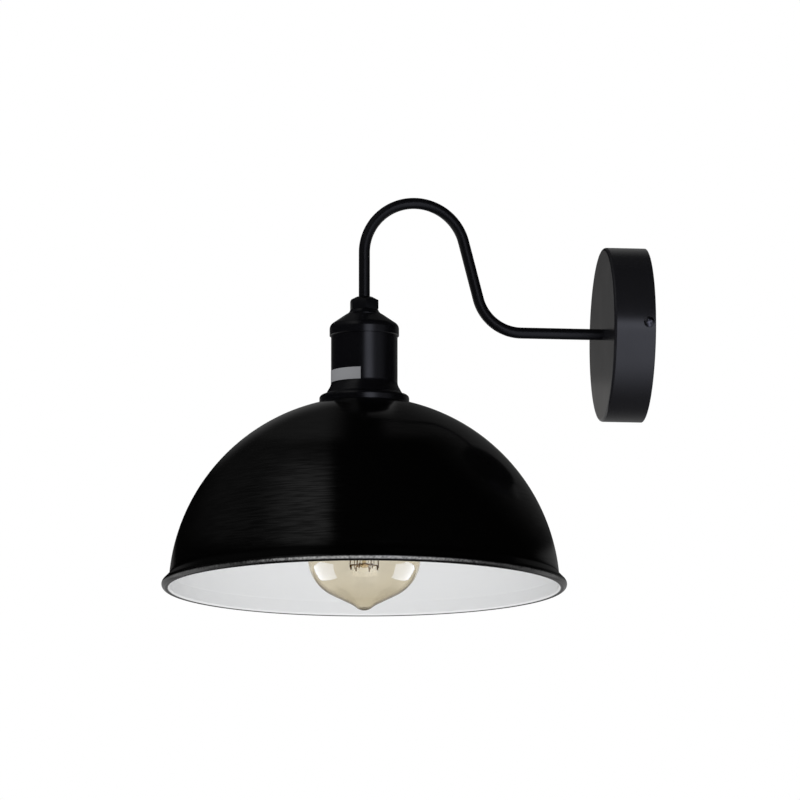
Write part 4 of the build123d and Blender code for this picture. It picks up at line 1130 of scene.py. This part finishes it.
class LAMP_OT_leads(bpy.types.Operator):
    """Draws the insulated leads from the terminal block through the arm"""

    bl_idname = "lamp.make_leads"
    bl_label = "Leads"

    def execute(self, context):
        sizes, finish = context.scene.lamp_sizes, context.scene.lamp_finish
        tree, identifiers = tube_tree()

        def draw(node, route, material, slot):
            """Stands for a lead with a round bar along a smooth route."""
            mesh = run_tree(
                node + "_drawn", line_mesh(smooth_line(route)), tree, identifiers,
                {"Radius": sizes.lead_radius, "Sides": 20, "Material": material}, sharp=60,
            )
            add_piece(node + "_drawn", mesh, "lamp", slot, material, node)

        # the routes in the block, through the arm and down to the lampholder's terminals
        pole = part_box("terminal_block_screws")[1].x - clamp_screw_radius
        block = box_bottom("terminal_block")
        depth, bush_depth, lug_depth = -8 * mm, -13.6 * mm, -3.3 * mm
        in_block, below_block = block + 5 * mm, block - 4 * mm
        sleeve_end, fork, terminal = -22 * mm, -27.9 * mm, -31.9 * mm
        terminal_aside = 9 * mm
        leads = (("live_lead", 1, pole, "brown"), ("neutral_lead", -1, 0, "blue"))
        for node, side, start, name in leads:
            aside = side * sizes.lead_spacing / 2
            far = side * terminal_aside
            route = [
                Vector((start, depth, in_block)),
                Vector((start, depth, block)),
                Vector((start, depth, below_block)),
                Vector((aside, depth, 0)),
                Vector((aside, bush_depth, 0)),
                *swan_neck(sizes, aside, box_bottom("arm_tube")),
                Vector((aside, -reach, sleeve_end)),
                Vector((aside, -reach, fork)),
                Vector((far, -reach, terminal)),
                Vector((far, -reach, box_bottom(node))),
            ]
            slot = name + "_insulation"
            draw(node, route, moulding(slot, getattr(finish, name), roughness=0.4, skin_size=0.6), slot)
        route = [
            Vector((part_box("earth_lead")[0].x, lug_depth, 0)),
            Vector((-pole, lug_depth, 0)),
            Vector((-pole, depth, below_block)),
            Vector((-pole, depth, in_block)),
        ]
        slot = "green_yellow_insulation"
        striped = moulding(slot, finish.green, roughness=0.4, skin_size=0.6, stripe=finish.yellow)
        draw("earth_lead", route, striped, slot)
        return {"FINISHED"}


def thread(sizes, height, turn):
    """Depth of the bulb's thread at a height and a turn, between 0 at the crest and 1 at the root."""
    return 0.5 - 0.5 * math.cos(2 * math.pi * height / sizes.thread_pitch - turn)


class LAMP_OT_lampholder(bpy.types.Operator):
    """Finishes the lampholder, its screw shell and the ring that clamps the shade"""

    bl_idname = "lamp.make_lampholder"
    bl_label = "Lampholder"

    def execute(self, context):
        sizes, finish = context.scene.lamp_sizes, context.scene.lamp_finish
        bakelite = moulding("black_bakelite", finish.bakelite, roughness=0.3, skin_size=0.8)
        for node in ("lampholder_dome", "lampholder_skirt", "shade_ring"):
            smooth_copy(node, "lamp", "black_bakelite", bakelite)
        ceramic = moulding("fired_steatite", finish.steatite, roughness=0.6, skin_size=0.6)
        smooth_copy("lampholder_core", "lamp", "steatite", ceramic)
        brass = stamped_brass(finish)
        for node in ("centre_contact", "holder_terminals"):
            smooth_copy(node, "lamp", "brass", brass)
        for node in ("threaded_sleeve", "lock_nut", "holder_terminal_screws"):
            smooth_copy(node, "lamp", "zinc_plated_steel", zinc_plate(finish))

        low, high = box_bottom("screw_shell"), box_top("screw_shell")
        outer = box_radius("screw_shell")
        steps = 80
        rows = [low + (high - low) * i / steps for i in range(steps + 1)]

        def shell_outline(turn):
            """Section of the rolled thread."""
            outside = [(outer - sizes.thread_depth * thread(sizes, z, turn), z) for z in rows]
            inside = [(radius - sizes.cap_sheet, z) for radius, z in outside]
            return outside + inside[::-1]

        shell = lathe("screw_shell_rolled", shell_outline, sharp=60)
        add_piece("screw_shell_rolled", shell, "lamp", "brass", brass, "screw_shell")
        return {"FINISHED"}


class LAMP_OT_bulb(bpy.types.Operator):
    """Blows the globe with its drawn tip, and rolls the screw cap"""

    bl_idname = "lamp.make_bulb"
    bl_label = "Bulb"

    def execute(self, context):
        sizes, finish = context.scene.lamp_sizes, context.scene.lamp_finish
        point, heading = Vector((0, box_bottom("bulb_glass"))), 0.0
        line = [point]

        def bend(radius, degrees, steps):
            """Goes on round an arc, to the left if the angle is positive."""
            nonlocal point, heading
            side = math.copysign(1, degrees)
            centre = point + side * radius * Vector((-math.sin(heading), math.cos(heading)))
            for i in range(1, steps + 1):
                turn = heading + math.radians(degrees) * i / steps
                line.append(centre + side * radius * Vector((math.sin(turn), -math.cos(turn))))
            point, heading = line[-1], heading + math.radians(degrees)

        def straight(distance, steps=1):
            """Goes straight on."""
            nonlocal point
            ahead = Vector((math.cos(heading), math.sin(heading)))
            line.extend(point + ahead * distance * i / steps for i in range(1, steps + 1))
            point = line[-1]

        # from below: the drawn tip, the hollow round it, the taper, the belly, the shoulder and the neck
        tip_round, tip_turn = 9 * mm, 40
        hollow_round, hollow_turn = 20 * mm, -14
        belly_round = 30 * mm
        shoulder_round, shoulder_turn = 70 * mm, 30
        neck_round = 40 * mm
        globe = box_radius("bulb_glass")
        bend(tip_round, tip_turn, steps=10)
        bend(hollow_round, hollow_turn, steps=5)
        taper = (globe - point.x - belly_round * (1 - math.sin(heading))) / math.cos(heading)
        straight(taper, steps=6)
        bend(belly_round, math.degrees(math.pi / 2 - heading), steps=24)
        bend(shoulder_round, shoulder_turn, steps=16)
        closing = (point.x - sizes.neck_radius) / math.sin(math.radians(shoulder_turn))
        straight(closing - neck_round * math.tan(math.radians(shoulder_turn / 2)), steps=6)
        bend(neck_round, -shoulder_turn, steps=12)
        # the neck steps in just below the cap's rim
        seal_step, seal_below, seal_above = 1 * mm, 1 * mm, 0.4 * mm
        rim = box_bottom("bulb_cap")
        straight(rim - seal_below - point.y, steps=3)
        line.append(Vector((sizes.neck_radius - seal_step, rim + seal_above)))
        line.append(Vector((sizes.neck_radius - seal_step, box_top("bulb_glass"))))
        inner = sheet_sides(line, 2 * sizes.glass_wall)[0]
        inner[0].x = 0
        blown = lathe("globe_blown", line + inner[::-1], segments=128, sharp=80)
        amber = glass("amber_blown_glass", finish.amber, depth=3.3)
        add_piece("globe_blown", blown, "bulb", "amber_glass", amber, "bulb_glass")

        # the thread starts above a plain rim and runs out below the shoulder
        low, high = box_bottom("bulb_cap"), box_top("bulb_cap")
        crest = box_radius("bulb_cap")
        shoulder, shoulder_height = 11.3 * mm, 1.2 * mm
        plain_rim, run_in = 0.6 * mm, 1.2 * mm
        plain_top, run_out = 1.5 * mm, 3 * mm
        steps = 72
        rows = [low + (high - shoulder_height - low) * i / steps for i in range(steps + 1)]

        def cap_outline(turn):
            """Section of the cap: a plain rim, the rolled thread and a shoulder."""
            outside = []
            for z in rows:
                from_rim = clamped((z - low - plain_rim) / run_in)
                to_top = clamped((high - plain_top - z) / run_out)
                depth = 1 - to_top * (1 - thread(sizes, z, turn))
                outside.append((crest - sizes.thread_depth * depth * from_rim, z))
            outside.append((shoulder, high))
            inside = [(radius - sizes.cap_sheet, z) for radius, z in outside]
            return outside + inside[::-1]

        cap = lathe("bulb_cap_rolled", cap_outline, sharp=60)
        nickel = metal("nickel_plated_brass", finish.nickel, roughness=0.25, scuff_size=2)
        add_piece("bulb_cap_rolled", cap, "bulb", "nickelled_brass", nickel, "bulb_cap")
        black_glass = moulding("black_glass", finish.bakelite, roughness=0.12, skin_size=1.5)
        smooth_copy("bulb_insulator", "bulb", "black_glass", black_glass)
        solder = metal("soft_solder", finish.solder, roughness=0.35, scuff_size=1)
        smooth_copy("bulb_contact", "bulb_tip", "solder", solder)
        return {"FINISHED"}


class LAMP_OT_filament(bpy.types.Operator):
    """Finishes the glass stem, the hooks, the lead-in wires and the filament"""

    bl_idname = "lamp.make_filament"
    bl_label = "Filament"

    def execute(self, context):
        finish = context.scene.lamp_finish
        stem = glass("golden_drawn_glass", finish.stem, depth=3)
        smooth_copy("bulb_stem", "bulb", "clear_glass", stem)
        # the wires are thickened, because at their own size they would not show through the glass
        wire = metal("drawn_nickel_wire", finish.wire, roughness=0.4, scuff_size=1)
        for node in ("filament_hooks", "lead_in_wires"):
            smooth_copy(node, "bulb", "nickel_wire", wire, sharp=60, swell=0.25 * mm)
        tungsten = metal("drawn_tungsten", finish.wire, roughness=0.5, scuff_size=1)
        smooth_copy("filament", "bulb", "tungsten", tungsten, sharp=60)
        return {"FINISHED"}


# Stage
white, cool, warm, sky = (1, 1, 1), (0.92, 0.95, 1.12), (1, 0.97, 0.94), (0.6, 0.72, 1)


def bearing(azimuth, elevation):
    """Unit vector from the lamp towards a bearing, in radians."""
    level = Vector((math.sin(azimuth), -math.cos(azimuth), 0)) * math.cos(elevation)
    return level + up * math.sin(elevation)


def view_axes(stage):
    """The view's directions to the right, upwards and back to the camera."""
    back = bearing(stage.azimuth, stage.elevation)
    right = Vector((math.cos(stage.azimuth), math.sin(stage.azimuth), 0))
    return right, back.cross(right), back


def view_aim(stage):
    """The point that the camera and the soft lights face."""
    return Vector((0, -stage.aim_out, -stage.aim_down))


def set_camera(scene, stage):
    """Looks at the lamp through a long lens from far away."""
    camera = bpy.data.objects.new("camera", bpy.data.cameras.new("camera"))
    scene.collection.objects.link(camera)
    back = bearing(stage.azimuth, stage.elevation)
    camera.location = view_aim(stage) + back * stage.distance
    camera.rotation_euler = (-back).to_track_quat("-Z", "Y").to_euler()
    camera.data.lens = camera.data.sensor_width * stage.distance / stage.view_width
    camera.data.clip_end = 50
    scene.camera = camera


def area_light(scene, name, place, turn, width, height, power, tint=white):
    """A rectangular light that the camera doesn't see."""
    light = bpy.data.lights.new(name, "AREA")
    light.shape = "RECTANGLE"
    light.size, light.size_y, light.energy, light.color = width, height, power, tint
    box = bpy.data.objects.new(name, light)
    scene.collection.objects.link(box)
    box.location, box.rotation_euler = place, turn
    box.visible_camera = False
    return box


def softbox(scene, stage, name, aside, elevation, size, power, distance=2.0):
    """A square light that is seen in no reflection; aside counts to the camera's right, in degrees."""
    towards = bearing(stage.azimuth + math.radians(aside), math.radians(elevation))
    place, turn = view_aim(stage) + towards * distance, (-towards).to_track_quat("-Z", "Y").to_euler()
    area_light(scene, name, place, turn, size, size, power).visible_glossy = False


def mirrored_box(scene, piece, place, inward, across, width, height, power, tint):
    """A light for one piece alone, which mirrors it; across is the way of its width."""
    turn = Matrix((across, (-inward).cross(across), -inward)).transposed().to_euler()
    box = area_light(scene, f"{piece}_softbox", place, turn, width, height, power, tint)
    receiver = bpy.data.collections.new(f"only_{piece}")
    receiver.objects.link(bpy.data.objects[piece])
    box.light_linking.receiver_collection = receiver


def hang_lights(scene, stage):
    """Hangs the lights that single pieces mirror, and the soft ones."""
    right, upward, back = view_axes(stage)
    # two low boxes that show in the bulb, to the left and the right of it
    lean, aside, below, behind = math.radians(19), 800 * mm, 460 * mm, 270 * mm
    bulb_middle = head + up * -170 * mm
    across = back * math.cos(lean) - upward * math.sin(lean)
    for side in (-1, 1):
        place = bulb_middle + right * aside * side - upward * below - back * behind
        mirrored_box(
            scene, "globe_blown", place, inward=-right * side, across=across,
            width=1.0, height=0.7, power=8, tint=sky,
        )
    # a low card on the far side, which lightens the lower half of the canopy's face
    card = Vector((-350, -80, -40)) * mm
    mirrored_box(
        scene, "canopy_spun", card, inward=Vector((1, 0, 0)), across=out_of_wall,
        width=160 * mm, height=120 * mm, power=0.0065, tint=warm,
    )
    softbox(scene, stage, "fill_below", aside=0, elevation=-60, size=1.5, power=20)
    softbox(scene, stage, "fill_front", aside=0, elevation=-30, size=1.2, power=5)
    softbox(scene, stage, "fill_left", aside=-60, elevation=20, size=1.2, power=14)


def lay_floor(scene, stage):
    """Lays a pale round floor far below the lamp."""
    sides = 120
    bm = bmesh.new()
    turns = [2 * math.pi * i / sides for i in range(sides)]
    rim = [head + stage.floor_radius * Vector((math.cos(t), math.sin(t), 0)) for t in turns]
    bm.faces.new([bm.verts.new(p + up * stage.floor_level) for p in rim])
    floor = bpy.data.objects.new("floor", finished_mesh("floor", bm, turn_out=False))
    scene.collection.objects.link(floor)
    material, _, shader = new_material("pale_floor_paint")
    set_inputs(shader, Base_Color=stage.floor_tone, Roughness=0.8)
    floor.data.materials.append(material)
    floor.visible_glossy = False


def light_surround(scene, stage):
    """Makes the surround: white to the camera, and a soft white to what it lights.

    To what mirrors it, it is dark with glowing panels.
    """
    right, upward, back = view_axes(stage)
    world = scene.world or bpy.data.worlds.new("surround")
    scene.world = world
    world.use_nodes = True
    # lit only by the rays that meet it, so that the panels and the soft white stay apart
    world.cycles.sampling_method = "NONE"
    tree = world.node_tree
    tree.nodes.clear()
    # a place in the surround is told by the facing of a surface that mirrors it to the camera:
    # how far it leans to the right, upwards and to the camera, each from -1 to 1
    way = add_node(tree, "ShaderNodeTexCoord").outputs["Generated"]
    middle = add_node(tree, "ShaderNodeVectorMath", {0: way, 1: back}, operation="ADD").outputs[0]
    facing = add_node(tree, "ShaderNodeVectorMath", {0: middle}, operation="NORMALIZE").outputs[0]
    directions = {
        "right_of": (right, 1), "left_of": (right, -1), "above": (upward, 1), "below": (upward, -1),
        "nearer": (back, 1), "farther": (back, -1),
    }

    def panel(strength, tint=white, slanted=None, **places):
        """A glowing panel for reflections.

        Each edge is its place along one of the directions and its softness. A slanted edge has its inward
        direction to the right and upwards before them.
        """
        edges = []
        for key, (place, soft) in places.items():
            axis, sign = directions[key]
            edges.append((axis * sign, place * sign, soft))
        if slanted:
            aside, rise, place, soft = slanted
            edges.append((right * aside + upward * rise, place, soft))
        mask = strength
        for inward, place, soft in edges:
            along = add_node(
                tree, "ShaderNodeVectorMath", {0: facing, 1: inward}, operation="DOT_PRODUCT"
            ).outputs["Value"]
            ramp = add_node(
                tree, "ShaderNodeMapRange",
                {"Value": along, "From Min": place - soft / 2, "From Max": place + soft / 2},
                interpolation_type="SMOOTHSTEP",
            ).outputs["Result"]
            mask = add_node(tree, "ShaderNodeMath", {0: mask, 1: ramp}, operation="MULTIPLY").outputs[0]
        return add_node(
            tree, "ShaderNodeVectorMath", {0: tint, "Scale": mask}, operation="SCALE"
        ).outputs[0]

    panels = [
        # tall softbox on the left, which the dome mirrors as a band
        panel(0.22, right_of=(-0.42, 0.3), left_of=(-0.175, 0.08), above=(0.25, 0.07), below=(0.64, 0.2)),
        panel(0.06, right_of=(-0.85, 0.3), left_of=(-0.175, 0.08), above=(0.25, 0.1), nearer=(0.45, 0.7)),
        # overhead boxes and the white room behind, which show along the edges
        panel(
            0.085, right_of=(-0.6, 0.2), left_of=(-0.12, 0.12), above=(0.78, 0.04),
            slanted=(0.5, -0.866, -0.85, 0.5),
        ),
        panel(
            0.07, right_of=(0.1, 0.08), left_of=(0.4, 0.3), above=(0.8, 0.06),
            slanted=(-0.5, -0.866, -0.85, 0.5),
        ),
        panel(0.1, left_of=(0.05, 0.2), above=(0.7, 0.3), farther=(0.22, 0.2)),
        panel(0.06, above=(0.1, 0.3), slanted=(0.707, 0.707, 0.87, 0.26)),
        panel(0.11, right_of=(0.9, 0.1), above=(0.05, 0.1), below=(0.2, 0.05)),
        panel(0.25, right_of=(0.0, 0.06), left_of=(0.14, 0.06), above=(0.93, 0.1)),
        # pale ground, which shows along the lower edges
        panel(0.05, below=(-0.5, 0.3)),
        panel(0.25, slanted=(-0.8, -0.6, 0.8, 0.2)),
        panel(0.25, slanted=(0.8, -0.6, 0.8, 0.2)),
        panel(0.15, below=(-0.9, 0.16)),
        # pale floor and low walls to both sides, which the rim mirrors when it is seen from above
        panel(0.4, left_of=(-0.4, 0.2), below=(-0.09, 0.12), nearer=(0.36, 0.12)),
        panel(0.4, right_of=(0.5, 0.2), below=(-0.09, 0.12), nearer=(0.36, 0.12)),
        # narrow strip beside the camera
        panel(1.0, cool, right_of=(0.02, 0.1), left_of=(0.22, 0.16), above=(-0.5, 0.5), below=(0.165, 0.03)),
        panel(0.8, cool, right_of=(0.02, 0.1), left_of=(0.26, 0.2), above=(0.09, 0.06), below=(0.17, 0.03)),
        panel(0.25, cool, right_of=(0.1, 0.1), left_of=(0.55, 0.3), above=(-0.3, 0.5), below=(0.165, 0.03)),
        # card beyond the canopy
        panel(0.06, warm, left_of=(-0.975, 0.02), below=(0.2, 0.1), above=(-0.2, 0.1)),
    ]
    unlit, soft_white = (0.003, 0.003, 0.003), 0.6
    total = unlit
    for glow in panels:
        total = add_node(tree, "ShaderNodeVectorMath", {0: total, 1: glow}, operation="ADD").outputs[0]
    path = add_node(tree, "ShaderNodeLightPath").outputs
    seen = add_node(tree, "ShaderNodeBackground", {"Color": (*white, 1), "Strength": 1.0}).outputs[0]
    mirrored = add_node(tree, "ShaderNodeBackground", {"Color": total, "Strength": 1.0}).outputs[0]
    soft = add_node(tree, "ShaderNodeBackground", {"Color": (*white, 1), "Strength": soft_white}).outputs[0]
    lit = add_node(tree, "ShaderNodeMixShader", {0: path["Is Glossy Ray"], 1: soft, 2: mirrored}).outputs[0]
    shown = add_node(tree, "ShaderNodeMixShader", {0: path["Is Camera Ray"], 1: lit, 2: seen}).outputs[0]
    add_node(tree, "ShaderNodeOutputWorld", {"Surface": shown})


class LAMP_OT_stage(bpy.types.Operator):
    """Sets the camera, the soft lights, the pale floor and the white surround"""

    bl_idname = "lamp.make_stage"
    bl_label = "Stage"

    def execute(self, context):
        scene, stage = context.scene, context.scene.lamp_stage
        scene.view_settings.view_transform = "Standard"
        set_camera(scene, stage)
        hang_lights(scene, stage)
        lay_floor(scene, stage)
        light_surround(scene, stage)
        return {"FINISHED"}


class LAMP_PT_panel(bpy.types.Panel):
    """Lists the lamp's pieces in the sidebar"""

    bl_idname = "LAMP_PT_panel"
    bl_label = "Wall Lamp"
    bl_space_type = "VIEW_3D"
    bl_region_type = "UI"
    bl_category = "Wall Lamp"

    def draw(self, context):
        for operator in operators:
            self.layout.operator(operator.bl_idname)


operators = (
    LAMP_OT_shade,
    LAMP_OT_arm,
    LAMP_OT_head,
    LAMP_OT_canopy,
    LAMP_OT_wall_fittings,
    LAMP_OT_leads,
    LAMP_OT_lampholder,
    LAMP_OT_bulb,
    LAMP_OT_filament,
    LAMP_OT_stage,
)
groups = {"lamp_sizes": LampSizes, "lamp_finish": LampFinish, "lamp_stage": LampStage}


def register():
    """Adds the classes, and the groups of properties to the scene."""
    for cls in (*groups.values(), *operators, LAMP_PT_panel):
        bpy.utils.register_class(cls)
    for name, cls in groups.items():
        setattr(bpy.types.Scene, name, PointerProperty(type=cls))


def unregister():
    """Takes away what register added."""
    for name in groups:
        delattr(bpy.types.Scene, name)
    for cls in (LAMP_PT_panel, *reversed(operators), *groups.values()):
        bpy.utils.unregister_class(cls)


def main():
    """Makes the lamp."""
    register()
    for operator in operators:
        category, verb = operator.bl_idname.split(".")
        getattr(getattr(bpy.ops, category), verb)()


if __name__ == "__main__":
    main()
